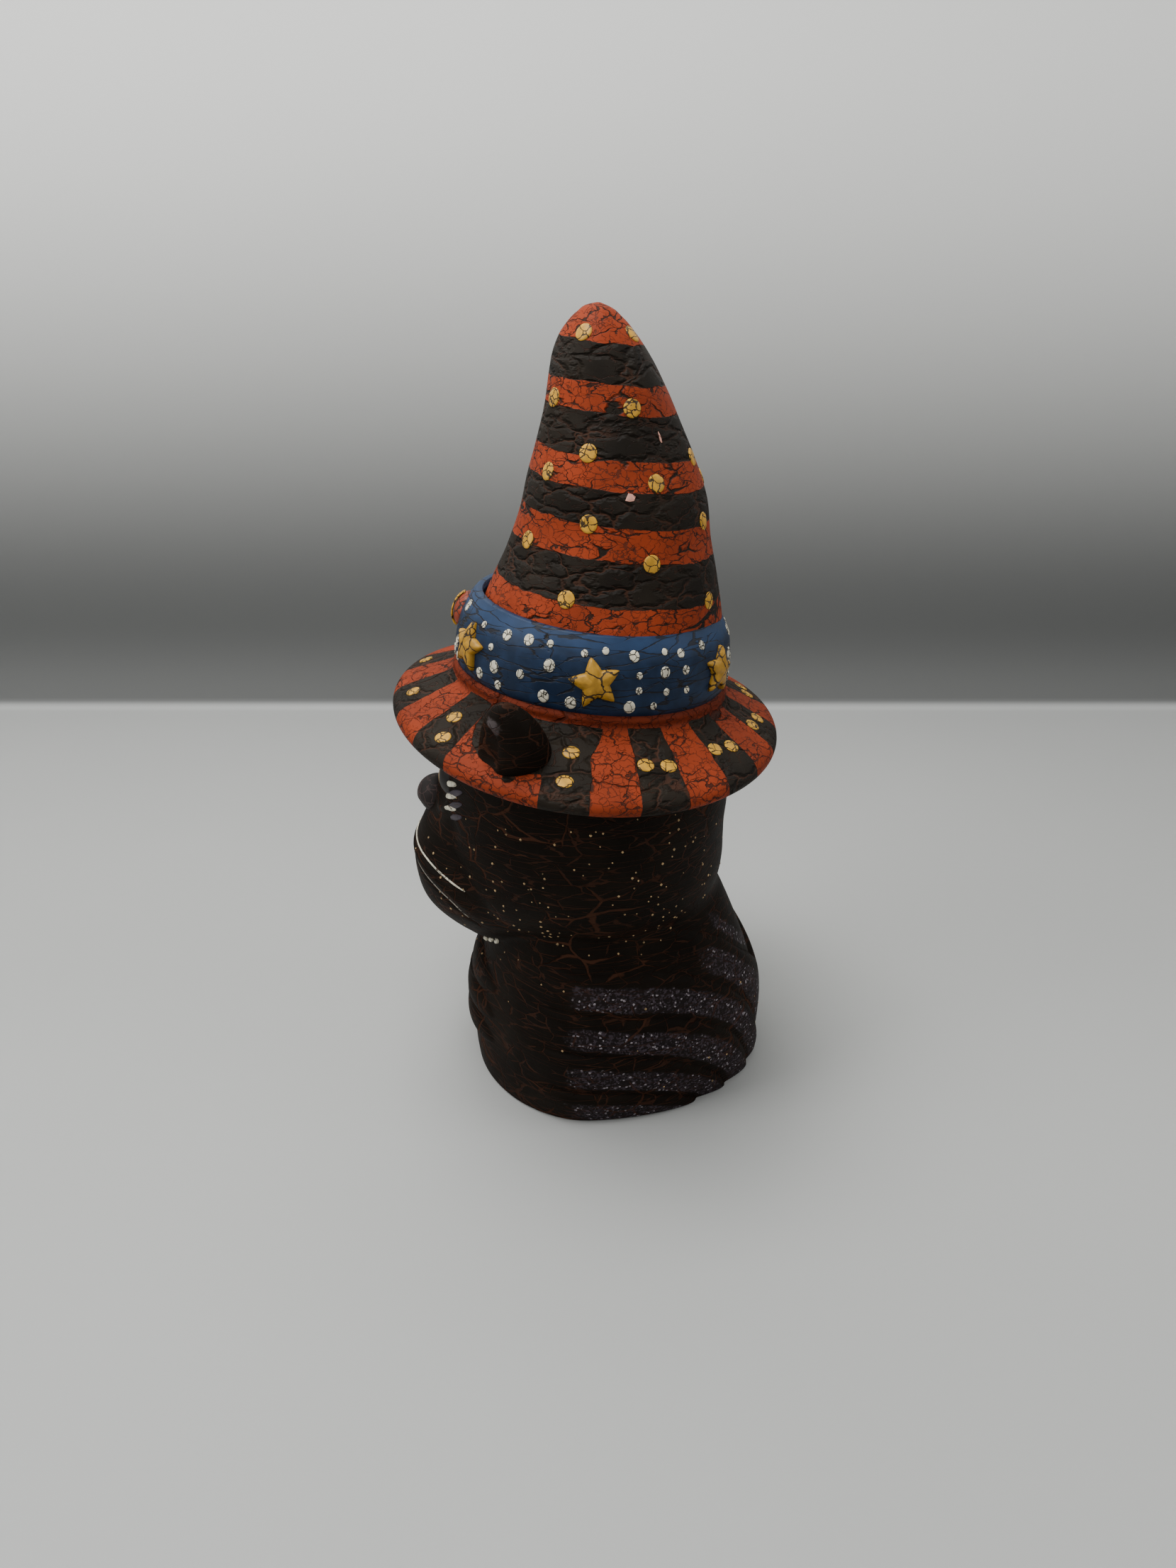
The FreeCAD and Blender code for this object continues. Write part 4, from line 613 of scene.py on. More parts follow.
def make_hat(form, colours):
    columns = form.columns
    turn = np.linspace(-math.pi, math.pi, columns, endpoint=False)[None, :]
    rings, stripes = [], []
    side = np.degrees(np.arctan2(-np.cos(turn), np.sin(turn)))
    heights = np.concatenate([CROWN_TOP - 9 * np.linspace(0, 1, 14)**2, np.linspace(139.4, 22.8, 170)])[:, None]
    x, y = crown_surface(turn, heights)
    rings.append(on_hat(x, y, heights))
    from_tip = signed_to_edges(CROWN_TOP - heights, [CROWN_TOP - edge for edge in STRIPE_EDGES])
    stripes.append(np.broadcast_to(from_tip, x.shape))
    first_brim = len(heights) * columns
    stations = np.concatenate([np.linspace(0, 14, 78), [15, 16, 17]])[:, None]
    x, y, height = brim_surface(turn, stations)
    rings.append(on_hat(x, y, height))
    reach = np.hypot(x, y)
    bearing = np.mod(np.broadcast_to(side, x.shape) - EAR_STRIPE[1], 360) + EAR_STRIPE[1]
    painted = np.radians(signed_to_edges(bearing, brim_edges())) * reach
    painted = np.where(stations < 12.6, np.minimum(painted, (stations - 3.3) * 2.4), 2.0)
    # the brim round each ear's foot takes the dark stripe paint, and a small painted shadow lies under each ear's
    # overhang
    beside_ear = 19 - np.hypot(np.abs(x) - 54, 0.85 * (y + 18))
    painted_ear_shadow = 1.9 - np.hypot(np.abs(x) - 74.5, 0.8 * (y + 26))
    painted = np.where(stations > 3.4, np.maximum(painted, np.maximum(beside_ear, painted_ear_shadow)), painted)
    stripes.append(painted)
    wall = form.wall / MM
    for radius, height in ((48.5, 3.0), (42.0, 3.0), (42.0, 14.0)):
        rings.append(on_hat(radius * np.sin(turn), -radius * np.cos(turn), height))
    inner = np.linspace(18, 140, 12)[:, None]
    radius, shift = curve_through(CROWN_ROWS, inner)
    radius = np.maximum(radius - wall, 0.5)
    rings.append(on_hat(radius * np.sin(turn), -radius * np.cos(turn) - shift, inner))
    points = np.concatenate([ring.reshape(-1, columns, 3) for ring in rings])
    rows = len(points)
    faces = ring_faces(rows, columns)
    tip, roof = points[0].mean(0), points[-1].mean(0)
    last = (rows - 1) * columns
    for j in range(columns):
        k = (j + 1) % columns
        faces += [(rows * columns, k, j), (rows * columns + 1, last + j, last + k)]
    places = np.concatenate([points.reshape(-1, 3), [tip], [roof]])
    piece = new_piece("witch_hat", places, faces, hat_paint(colours))
    values = np.full(len(places), 2.0)
    painted = np.concatenate([s.reshape(-1, columns) for s in stripes])
    values[:painted.size] = painted.ravel()
    values[rows * columns] = -8.0
    set_attribute(piece, "stripe", values * MM)
    # painted shade over the whole brim, deepest next to the band
    painted_brim_shade = np.zeros(len(places))
    painted_brim_shade[first_brim:first_brim + len(stations) * columns] = np.repeat(0.26 + 0.5 * (1 - eased(stations, 2.6, 5)), columns)
    set_attribute(piece, "painted_brim_shade", painted_brim_shade)
    belongs(piece, "hat", "hat_shell", slot="hat_paint")
    return piece


BAND_ROWS = [(0, 46.0, 20.8), (1, 50.6, 20.8), (2, 51.9, 21.8), (3, 52.4, 24.6), (4, 52.2, 30.0), (5, 51.6, 35.5),
             (6, 50.7, 39.8), (7, 49.5, 42.4), (8, 48.0, 45.0), (9, 46.4, 47.2), (10, 45.4, 48.1), (11, 43.4, 48.0)]


def make_band(form, colours):
    """The raised band, a closed ring with a bevelled upper edge."""
    columns = form.columns
    turn = np.linspace(-math.pi, math.pi, columns, endpoint=False)[None, :]
    stations = np.linspace(0, 11, 60)[:, None]
    radius, height = curve_through(BAND_ROWS, stations)
    radius = radius + 0.25 * np.sin(2 * turn + 0.6) * eased(height, 24, 30)
    height = height + 0.35 * np.sin(3 * turn) * eased(height, 30, 44)
    points = on_hat(radius * np.sin(turn), -radius * np.cos(turn), height)
    piece = new_piece("hat_ribbon", points, ring_faces(len(points), columns, joined=True), band_paint(colours))
    # painted highlight and wear along the band's upper bevel
    wear_and_highlight = eased(height, 41.5, 44.5) * (1 - 0.3 * eased(height, 46.5, 48))
    set_attribute(piece, "wear_and_highlight", np.broadcast_to(wear_and_highlight, points.shape[:2]))
    belongs(piece, "hat", "hat_band", slot="band_navy")
    return piece


# ---- pieces laid on a surface ----------------------------------------------------------------------------
def laid_pieces_tree():
    """A node tree that sets a template on each point and presses it on to a surface."""
    tree = bpy.data.node_groups.new("pieces_laid_on_a_surface", "GeometryNodeTree")
    sockets = {}
    for name, kind in (("Geometry", "Geometry"), ("Surface", "Object"), ("Template", "Object"),
                       ("Finish", "Material")):
        sockets[name] = tree.interface.new_socket(name, in_out="INPUT", socket_type="NodeSocket" + kind)
    tree.interface.new_socket("Geometry", in_out="OUTPUT", socket_type="NodeSocketGeometry")

    def node(kind, settings=None, inputs=None):
        made = tree.nodes.new(kind)
        for name, value in (settings or {}).items():
            setattr(made, name, value)
        for key, value in (inputs or {}).items():
            if isinstance(value, bpy.types.NodeSocket):
                tree.links.new(value, made.inputs[key])
            else:
                made.inputs[key].default_value = value
        return made

    def named(name, kind, output=0):
        return node("GeometryNodeInputNamedAttribute", {"data_type": kind}, {"Name": name}).outputs[output]

    entry = node("NodeGroupInput")
    template = node("GeometryNodeObjectInfo", {}, {"Object": entry.outputs["Template"]})
    surface = node("GeometryNodeObjectInfo", {}, {"Object": entry.outputs["Surface"]})
    turned = node("FunctionNodeEulerToRotation", {}, {0: named("turned", "FLOAT_VECTOR")})
    laid = node("GeometryNodeInstanceOnPoints", {}, {
        "Points": entry.outputs["Geometry"], "Instance": template.outputs["Geometry"],
        "Rotation": turned.outputs[0], "Scale": named("size", "FLOAT_VECTOR")})
    real = node("GeometryNodeRealizeInstances", {}, {0: laid.outputs[0]})
    nearest = node("GeometryNodeProximity", {"target_element": "FACES"}, {0: surface.outputs["Geometry"]})
    normal = node("GeometryNodeInputNormal")
    sample = node("GeometryNodeSampleNearestSurface", {"data_type": "FLOAT_VECTOR"},
                  {"Mesh": surface.outputs["Geometry"], "Value": normal.outputs[0]})
    lift = node("ShaderNodeMath", {"operation": "MULTIPLY"},
                {0: named("lift", "FLOAT"), 1: named("relief", "FLOAT")})
    push = node("ShaderNodeVectorMath", {"operation": "SCALE"}, {0: sample.outputs["Value"], "Scale": lift.outputs[0]})
    place = node("ShaderNodeVectorMath", {"operation": "ADD"}, {0: nearest.outputs["Position"], 1: push.outputs[0]})
    pressed = node("GeometryNodeSetPosition", {}, {0: real.outputs[0], "Position": place.outputs[0]})
    painted = node("GeometryNodeSetMaterial", {}, {0: pressed.outputs[0], "Material": entry.outputs["Finish"]})
    node("NodeGroupOutput", {}, {0: painted.outputs[0]})
    return tree, sockets


def template(name, outline, rings):
    """A flat template one unit across. outline gives the radius at an angle, rings are (share of it, lift)."""
    columns = len(outline)
    angles = np.linspace(0, 2 * math.pi, columns, endpoint=False)
    places, lift = [], []
    for share, height in rings:
        radius = share * np.asarray(outline)
        places += list(zip(radius * np.cos(angles), radius * np.sin(angles), np.zeros(columns)))
        lift += [height] * columns
    faces = ring_faces(len(rings), columns)
    faces.append(list(range(columns)))
    last = (len(rings) - 1) * columns
    faces.append([last + j for j in range(columns)])
    mesh = bpy.data.meshes.new(name)
    mesh.from_pydata(places, [], faces)
    layer = mesh.attributes.new("lift", "FLOAT", "POINT")
    layer.data.foreach_set("value", lift)
    mesh.polygons.foreach_set("use_smooth", [True] * len(mesh.polygons))
    return bpy.data.objects.new(name, mesh)


def round_template():
    return template("dab_form", [1.0] * 20, [(1.0, -0.6), (1.0, 0.35), (0.93, 0.75), (0.72, 1.0), (0.3, 1.06)])


def lay(name, surface, form_object, spots, material, tree_and_sockets):
    """spots: (world place in mm, outward direction, spin in radians, (length, width) in mm, relief in mm)."""
    mesh = bpy.data.meshes.new(name)
    mesh.from_pydata([[c * MM for c in spot[0]] for spot in spots], [], [])
    turned, size = [], []
    for _, outward, spin, extent, _ in spots:
        up = Vector(outward).normalized()
        side = Vector((0, 0, 1)).cross(up)
        side = side.normalized() if side.length > 1e-4 else Vector((1, 0, 0))
        turn = Matrix((side, up.cross(side), up)).transposed() @ Matrix.Rotation(spin, 3, "Z")
        turned += list(turn.to_euler())
        size += [extent[0] * MM, extent[1] * MM, MM]
    mesh.attributes.new("turned", "FLOAT_VECTOR", "POINT").data.foreach_set("vector", turned)
    mesh.attributes.new("size", "FLOAT_VECTOR", "POINT").data.foreach_set("vector", size)
    mesh.attributes.new("relief", "FLOAT", "POINT").data.foreach_set("value", [spot[4] * MM for spot in spots])
    piece = bpy.data.objects.new(name, mesh)
    bpy.context.scene.collection.objects.link(piece)
    tree, sockets = tree_and_sockets
    modifier = piece.modifiers.new("laid", "NODES")
    modifier.node_group = tree
    modifier[sockets["Surface"].identifier] = surface
    modifier[sockets["Template"].identifier] = form_object
    modifier[sockets["Finish"].identifier] = material
    settle(piece)
    return piece


def settle(piece):
    """Turns a piece's node tree into a plain mesh."""
    bpy.context.view_layer.update()
    shown = piece.evaluated_get(bpy.context.evaluated_depsgraph_get())
    mesh = bpy.data.meshes.new_from_object(shown)
    piece.modifiers.clear()
    piece.data = mesh
    outward_faces(mesh)


def outward_faces(mesh):
    """Turns the faces of each closed part outwards."""
    import bmesh
    work = bmesh.new()
    work.from_mesh(mesh)
    bmesh.ops.recalc_face_normals(work, faces=work.faces)
    work.to_mesh(mesh)
    work.free()


def hat_spot(side_degrees, height, kind):
    """(place, outward) on the crown or band at a bearing from the figure's left side towards its back."""
    turn = math.radians(side_degrees + 90)
    def at(t, h):
        if kind == "crown":
            x, y = crown_surface(np.array(t), np.array(h))
        else:
            radius = np.interp(h, [21.8, 24.6, 35.5, 42.4, 47.2], [51.9, 52.4, 51.6, 49.5, 46.4])
            x, y = radius * math.sin(t), -radius * math.cos(t)
        return on_hat(x, y, h)
    return outward_spot(at, turn, height, 0.01, 0.5)


def outward_spot(at, u, v, du, dv):
    """A place and its outward direction on a surface given by two values."""
    place = np.asarray(at(u, v)).reshape(3)
    along = np.asarray(at(u + du, v)).reshape(3) - place
    up = np.asarray(at(u, v + dv)).reshape(3) - place
    return place, np.cross(along, up)


def brim_spot(side_degrees, radius):
    turn = math.radians(side_degrees + 90)
    stations = np.linspace(4.5, 11, 200)
    x, y, _ = brim_surface(turn, stations)
    station = float(stations[np.abs(np.hypot(x, y) - radius).argmin()])
    def at(t, s):
        x, y, height = brim_surface(np.array(t), np.array(s))
        return on_hat(x, y, height)
    return outward_spot(at, turn, station, 0.01, -0.1)


CROWN_DOTS = [(140, -28, 86), (119, 18, 95), (104, -20, 92), (95.5, -51, 73), (82, -17, 80), (71.5, -58, 78),
              (57, -22, 80)]       # height, first bearing, step between dots


def make_gold_dots(form, hat, material, tree):
    radius = form.dot_radius / MM
    rng = np.random.default_rng(5)
    spots = []
    for height, first, step in CROWN_DOTS:
        for i in range(round(360 / step)):
            drift = rng.uniform(-1.2, 1.2) if i else 0.0
            place, outward = hat_spot(first + i * step + 3 * drift, height + drift, "crown")
            spots.append((place, outward, 0.0, (radius, radius * 1.02), 0.42))
    edges = brim_edges()
    for i in range(0, len(edges) - 1, 2):
        middle, width = 0.5 * (edges[i] + edges[i + 1]), edges[i + 1] - edges[i]
        ahead = min(abs(middle + 90), abs(middle - 270))
        backward = 1 if middle < 90 else -1
        paired = ahead > 88
        near, far = (67.5, 68.5) if paired else (64.0, 76.0)
        swing = 0.27 * width if paired else (-0.02 if ahead > 60 else -0.12) * width * backward
        limit = 84 - 9 * abs(math.sin(math.radians(middle)))
        pair = ((near, -swing), (far, swing)) if ahead > 20 else ((68.0, 0.0),)
        for radius_out, offset in pair:
            out = min(radius_out, limit - 4.5) - (2 if paired and limit < 79 else 0)
            place, outward = brim_spot(middle + offset, out)
            spots.append((place, outward, 0.0, (radius * 0.98, radius * 0.9), 0.42))
    piece = lay("hat_gold_dots", hat, round_template(), spots, material, tree)
    belongs(piece, "hat", slot="star_gold")


def make_chips(hat, tree):
    """Two spots on the crown where the paint is lost: a pink chip and a white scratch."""
    chip = dab_paint("bare_plaster", (0.72, 0.36, 0.27), (0.30, 0.14, 0.10), 6 * MM, 0.2 * MM, gloss=0.6)
    flake = template("flake_form", [1.0, 0.75, 0.9, 0.6, 1.05, 0.8, 0.95], [(1.0, -0.6), (1.0, 0.3), (0.9, 0.5)])
    spots = []
    for side, height, size in ((7.0, 92.0, (1.9, 1.7)), (38.0, 110.5, (0.45, 2.4))):
        place, outward = hat_spot(side, height, "crown")
        spots.append((place, outward, 0.1, size, 0.35))
    piece = lay("crown_chips", hat, flake, spots, chip, tree)
    belongs(piece, "hat")


def make_band_dots(form, band, material, tree):
    """Three loose rows of cream dots, left out where a star stands."""
    rng = np.random.default_rng(12)
    rows = [(43.0, 11.2, 0.8), (36.3, 12.0, 0.9), (30.4, 11.6, 1.0), (25.0, 10.8, 0.8)]
    spots = []
    for height, step, stray in rows:
        count = round(360 / step)
        for i in range(count):
            side = i * 360 / count + rng.uniform(-2.2, 2.2) + 4
            at = height + rng.uniform(-stray, stray)
            size = rng.choice([1.25, 1.6, 1.95, 2.15], p=[0.2, 0.25, 0.3, 0.25])
            spacing = 360 / form.star_count
            from_star = (side + spacing / 2) % spacing - spacing / 2
            clear = math.hypot(math.radians(from_star) * 52, at - 33) > 9.4 + 0.5 * size
            at_button = abs((side + 90 + 180) % 360 - 180) < 10 and at > 31
            if clear and not at_button and rng.random() < 0.86:
                place, outward = hat_spot(side, at, "band")
                spots.append((place, outward, 0.0, (size * 0.95, size * 1.08), 0.38))
    piece = lay("ribbon_cream_dots", band, round_template(), spots, material, tree)
    belongs(piece, "hat")


def make_stars(form, band, material, tree):
    """Fat five-pointed stars with a ridge along each arm."""
    per_arm = 16
    angles = np.linspace(0, 2 * math.pi, 5 * per_arm, endpoint=False)
    around = np.mod(angles, 2 * math.pi / 5) / (2 * math.pi / 5)
    valley = 1 - np.abs(2 * around - 1)
    waist = 0.50
    outline = np.minimum(1 / (1 + (1 / waist - 1) * valley**0.92), 0.95)
    rings = [(1.0, -0.5), (1.0, 0.25), (0.94, 0.62), (0.78, 0.86), (0.5, 1.0), (0.2, 1.12)]
    form_object = template("star_form", outline, rings)
    size = form.star_radius / MM
    spots = []
    for i in range(form.star_count):
        place, outward = hat_spot(i * 360 / form.star_count, 33.0, "band")
        spots.append((place, outward, math.radians(90 + (9, -14, 17, -6, 11, -8)[i % 6]), (size, size), 2.6))
    piece = lay("ribbon_stars", band, form_object, spots, material, tree)
    belongs(piece, "hat", "band_stars", slot="star_gold")


def make_face_marks(form, bust, material, dull, tree):
    """Lashes, the darker strokes under them and the claws, on both sides."""
    leaf_angles = np.linspace(0, 2 * math.pi, 28, endpoint=False)
    taper = 1 / np.sqrt((np.cos(leaf_angles))**2 + (np.sin(leaf_angles) / 0.9)**2)
    taper = taper * np.where(np.cos(leaf_angles) < 0, 0.8, 1.0) * (1 - 0.5 * np.sin(0.5 * leaf_angles)**8)
    leaf = template("leaf_form", taper, [(1.0, -0.5), (1.0, 0.35), (0.85, 0.8), (0.45, 1.05)])
    lashes, strokes, claws = [], [], []
    def at(bearing, height):
        return bust_point(height, bearing, form)
    for side in (-1, 1):
        for height in (140.6, 135.6, 130.4):
            for marks, away, drop, length, width, relief, tip in ((lashes, 27.2, 0.2, 6.6, 1.35, 0.7, 18),
                                                                  (strokes, 30.6, -2.5, 8.5, 1.5, 0.5, 26)):
                bearing = side * math.radians(away)
                place, outward = outward_spot(at, bearing, height + drop, 0.01, 0.4)
                spin = math.radians(tip if side > 0 else 180 - tip)
                marks.append((place, outward, spin, (length, width), relief))
        for away, height, spin in ((20, 63.0, 70), (26, 65.0, 40), (32, 66.8, 70)):
            place, outward = outward_spot(at, side * math.radians(away), height, 0.01, 0.4)
            claws.append((place, outward, side * math.radians(spin), (2.1, 1.15), 1.1))
    for name, marks, paint in (("lashes", lashes, material), ("lash_shadows", strokes, dull),
                               ("claws", claws, material)):
        shape = round_template() if name == "claws" else leaf
        belongs(lay(name, bust, shape, marks, paint, tree), "bust")


def ribbon_on_bust(name, path, width, form, material):
    """A thin raised line of paint along (bearing in degrees, height) points, tapered at both ends."""
    steps = 90
    path = np.asarray(path, float)
    way = np.linspace(0, 1, len(path))
    t = np.linspace(0, 1, steps)
    bearing, height = curve_through(np.column_stack([way, path]).tolist(), t)
    bearing = np.radians(bearing)
    centre = bust_point(height, bearing, form)
    tangent = np.gradient(centre, axis=0)
    tangent /= np.linalg.norm(tangent, axis=1)[:, None]
    outward = np.stack([np.sin(bearing), -np.cos(bearing), np.zeros(steps)], -1)
    across = np.cross(tangent, outward)
    across /= np.linalg.norm(across, axis=1)[:, None]
    half = 0.5 * width * np.minimum(1, np.minimum(t, 1 - t) / 0.06 + 0.15)[:, None]
    rings = []
    for angle in np.linspace(0, 2 * math.pi, 10, endpoint=False):
        rings.append(centre + across * half * math.cos(angle) + outward * (0.18 + 0.34 * math.sin(angle)))
    points = np.stack(rings, 1)
    faces = ring_faces(steps, 10) + [list(range(10)), [(steps - 1) * 10 + j for j in range(10)]]
    piece = new_piece(name, points, faces, material)
    outward_faces(piece.data)
    belongs(piece, "bust")


def make_mouth(form, cream, dull):
    upper = [(a, float(mouth_height(abs(a)))) for a in (-40, -27, -13, 0, 13, 27, 40)]
    lower = [(a, float(jaw_height(abs(a))) + 0.4) for a in (-38, -34, -28, -18, -8, 0, 8, 18, 28, 34, 38)]
    ribbon_on_bust("smile_line", upper, 1.0, form, cream)
    ribbon_on_bust("lower_lip_line", lower, 0.8, form, dull)


def make_specks(form, bust, material):
    """Fine flecks of thrown paint, thickest on the cheeks."""
    tree = bpy.data.node_groups.new("thrown_specks", "GeometryNodeTree")
    inputs = {}
    for name, kind, value in (("Surface", "Object", None), ("Speck", "Object", None), ("Finish", "Material", None),
                              ("Density", "Float", 6000.0), ("Seed", "Int", 4)):
        inputs[name] = tree.interface.new_socket(name, in_out="INPUT", socket_type="NodeSocket" + kind)
        if value is not None:
            inputs[name].default_value = value
    tree.interface.new_socket("Geometry", in_out="OUTPUT", socket_type="NodeSocketGeometry")
    new = tree.nodes.new
    entry, surface, speck = new("NodeGroupInput"), new("GeometryNodeObjectInfo"), new("GeometryNodeObjectInfo")
    spread, random = new("GeometryNodeDistributePointsOnFaces"), new("FunctionNodeRandomValue")
    laid, real = new("GeometryNodeInstanceOnPoints"), new("GeometryNodeRealizeInstances")
    painted, leave = new("GeometryNodeSetMaterial"), new("NodeGroupOutput")
    weight = new("GeometryNodeInputNamedAttribute")
    weight.data_type = "FLOAT"
    weight.inputs["Name"].default_value = "specks"
    scale = new("ShaderNodeMath")
    scale.operation = "MULTIPLY"
    random.data_type = "FLOAT"
    random.inputs[2].default_value = 0.25 * MM
    random.inputs[3].default_value = 0.62 * MM
    link = tree.links.new
    link(entry.outputs["Surface"], surface.inputs["Object"])
    link(entry.outputs["Speck"], speck.inputs["Object"])
    link(surface.outputs["Geometry"], spread.inputs["Mesh"])
    link(weight.outputs[0], scale.inputs[0])
    link(entry.outputs["Density"], scale.inputs[1])
    link(scale.outputs[0], spread.inputs["Density"])
    link(entry.outputs["Seed"], spread.inputs["Seed"])
    link(entry.outputs["Seed"], random.inputs["Seed"])
    link(spread.outputs["Points"], laid.inputs["Points"])
    link(spread.outputs["Rotation"], laid.inputs["Rotation"])
    link(speck.outputs["Geometry"], laid.inputs["Instance"])
    link(random.outputs[1], laid.inputs["Scale"])
    link(laid.outputs[0], real.inputs[0])
    link(real.outputs[0], painted.inputs[0])
    link(entry.outputs["Finish"], painted.inputs["Material"])
    link(painted.outputs[0], leave.inputs[0])
    speck_form = template("speck_form", [1.0, 0.9, 1.05, 0.95, 1.0, 0.85, 1.1, 0.92], [(1.0, 0), (0.9, 0), (0.5, 0)])
    for vertex in speck_form.data.vertices:
        ring = vertex.index // 8
        vertex.co.z = (-0.4, 0.25, 0.45)[ring]
    piece = bpy.data.objects.new("paint_specks", bpy.data.meshes.new("paint_specks"))
    bpy.context.scene.collection.objects.link(piece)
    modifier = piece.modifiers.new("thrown", "NODES")
    modifier.node_group = tree
    for name, value in (("Surface", bust), ("Speck", speck_form), ("Finish", material)):
        modifier[inputs[name].identifier] = value
    modifier[inputs["Density"].identifier] = form.speck_count * 40.0
    modifier[inputs["Seed"].identifier] = 4
    settle(piece)
    belongs(piece, "bust")


# ---- single sculpted pieces ------------------------------------------------------------------------------
def make_nose(colours):
    low, high = (np.array(corner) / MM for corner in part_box("nose"))
    centre = np.array([0.5 * (low[0] + high[0]), low[1] + 8.5, 0.5 * (low[2] + high[2])])
    columns, rows = 64, 40
    around = np.linspace(0, 2 * math.pi, columns, endpoint=False)[None, :]
    tilt = np.linspace(0.03, math.pi - 0.03, rows)[:, None]
    x, z, out = np.sin(tilt) * np.cos(around), np.sin(tilt) * np.sin(around), np.cos(tilt) + 0 * around
    radius = 8.35 * (1 + 0.06 * z * (1 - x**2)) * (1 - 0.07 * np.exp(-(x / 0.16)**2) * (z < 0) * np.abs(z))
    for side in (-1, 1):
        radius = radius - 0.9 * np.exp(-((x - side * 0.42)**2 + (z + 0.38)**2) / 0.035)
    squat = np.stack([x * 1.04, -out, z * 0.94], -1)
    points = centre + radius[..., None] * squat
    points = np.concatenate([points.reshape(-1, 3), [points[0].mean(0)], [points[-1].mean(0)]])
    paint = Paint("nose_plum")
    rub = paint.cracks(5 * MM, 0.5 * MM, (1, 1, 1), 0.6, 3.0, gaps=0.15)
    tone = paint.noise(3 * MM, 4.0)
    coat = paint.mix(tone, (0.009, 0.007, 0.006), (0.024, 0.017, 0.016))
    colour = paint.mix(rub * 0.6, coat, (0.075, 0.045, 0.04))
    material = paint.finish(colour, 0.45 + tone * 0.2, 1 - rub * 0.6, 0.2 * MM, sheen=0.2)
    faces = ring_faces(rows, columns)
    last = (rows - 1) * columns
    for j in range(columns):
        k = (j + 1) % columns
        faces += [(rows * columns, k, j), (rows * columns + 1, last + j, last + k)]
    piece = new_piece("cat_nose", points, faces, material)
    belongs(piece, "bust", "nose", slot="nose_paint")


def make_eye(name, node, side, colours):
    """A bulging eye with a slit pupil."""
    low, high = (np.array(corner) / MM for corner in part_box(node))
    middle = 0.5 * (low + high)
    centre = np.array([side * 15.0, -49.0, EYE_HEIGHT])
    columns, rows = 64, 34
    around = np.linspace(0, 2 * math.pi, columns, endpoint=False)[None, :]
    tilt = np.linspace(0.02, 1.75, rows)[:, None]
    x, z = np.sin(tilt) * np.cos(around), np.sin(tilt) * np.sin(around)
    out = np.cos(tilt) + 0 * around
    radius = 9.4 + 0 * x
    points = centre + radius[..., None] * np.stack([x, -out, z], -1)
    back = centre + np.array([0, 2.0, 0])
    points = np.concatenate([points.reshape(-1, 3), [points[0].mean(0)], [back]])
    faces = ring_faces(rows, columns)
    last = (rows - 1) * columns
    for j in range(columns):
        k = (j + 1) % columns
        faces += [(rows * columns, k, j), (rows * columns + 1, last + j, last + k)]
    paint = Paint(name + "_amber")
    at = paint.vector("SUBTRACT", paint.place, tuple(centre * MM))
    parts = paint.node("ShaderNodeSeparateXYZ", {}, {0: at})
    across, up = Number(paint, parts.outputs[0]), Number(paint, parts.outputs[2])
    across = across + side * 1.6 * MM
    slit = (across * across * 9.0 + up * up * 0.8) / (19e-6)
    iris = (across * across + up * up) / (22e-6)
    streak = paint.noise(0.7 * MM, 4.0)
    amber = paint.mix(streak, (0.30, 0.12, 0.010), (0.75, 0.42, 0.04))
    colour = paint.mix(paint.smooth(iris, 0.9, 1.05), amber, (0.010, 0.007, 0.006))
    colour = paint.mix(1 - paint.smooth(slit, 0.85, 1.0), colour, (0.004, 0.004, 0.004))
    rough = paint.smooth(iris, 0.9, 1.05) * 0.30 + 0.16 + streak * 0.08
    material = paint.finish(colour, rough, streak, 0.03 * MM, sheen=0.25)
    piece = new_piece(name, points, faces, material)
    belongs(piece, "bust", node, slot="eye_paint")


def make_ear(name, node, side, colours, material):
    """A domed ear, hollowed on its front and pinched at the foot of the hollow."""
    low, high = (np.array(corner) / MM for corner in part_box(node))
    columns, rows = 72, 60
    base = np.array([side * 62.5, -24.5, 7.5])
    splay = math.radians(24)
    turn = np.linspace(0, 2 * math.pi, columns, endpoint=False)[None, :]
    up = np.linspace(0, 1, rows)[:, None]
    swell = np.clip(1 - (np.clip(up - 0.10, 0, 1) / 0.90)**1.9, 0, 1)**0.62 + 0.04 * (1 - up)
    wide, thick = 12.6 * swell, 11.0 * swell
    x, y = thick * np.sin(turn), -wide * np.cos(turn)
    facing = np.clip(np.cos(turn - side * math.radians(33)), 0, 1)
    hollow = 5.0 * facing**9 * eased(up, 0.06, 0.30) * (1 - eased(up, 0.58, 0.80))
    y = y + hollow
    height = -4 + 29.0 * up
    lean_forward = -5.0 * up**1.6
    px = base[0] + x * math.cos(splay) + side * math.sin(splay) * height
    pz = base[2] - side * x * math.sin(splay) + height * math.cos(splay)
    points = on_hat(px, base[1] + y + lean_forward, pz)
    flat = points.reshape(-1, 3)
    places = np.concatenate([flat, [points[0].mean(0)], [points[-1].mean(0)]])
    faces = ring_faces(rows, columns)
    last = (rows - 1) * columns
    for j in range(columns):
        k = (j + 1) % columns
        faces += [(rows * columns, k, j), (rows * columns + 1, last + j, last + k)]
    piece = new_piece(name, places, faces, material)
    outward_faces(piece.data)
    # painted highlight and wear: a pale spot just below the ear's tip, on one side
    tip = np.exp(-((up - 0.80) / 0.12)**2) * np.clip(np.cos(turn - side * math.radians(44)), 0, 1)**3
    set_attribute(piece, "tip_wear_and_highlight", np.append(np.broadcast_to(tip, x.shape).ravel(), [0, 0.6]))
    belongs(piece, "hat", node, slot="cast_black")


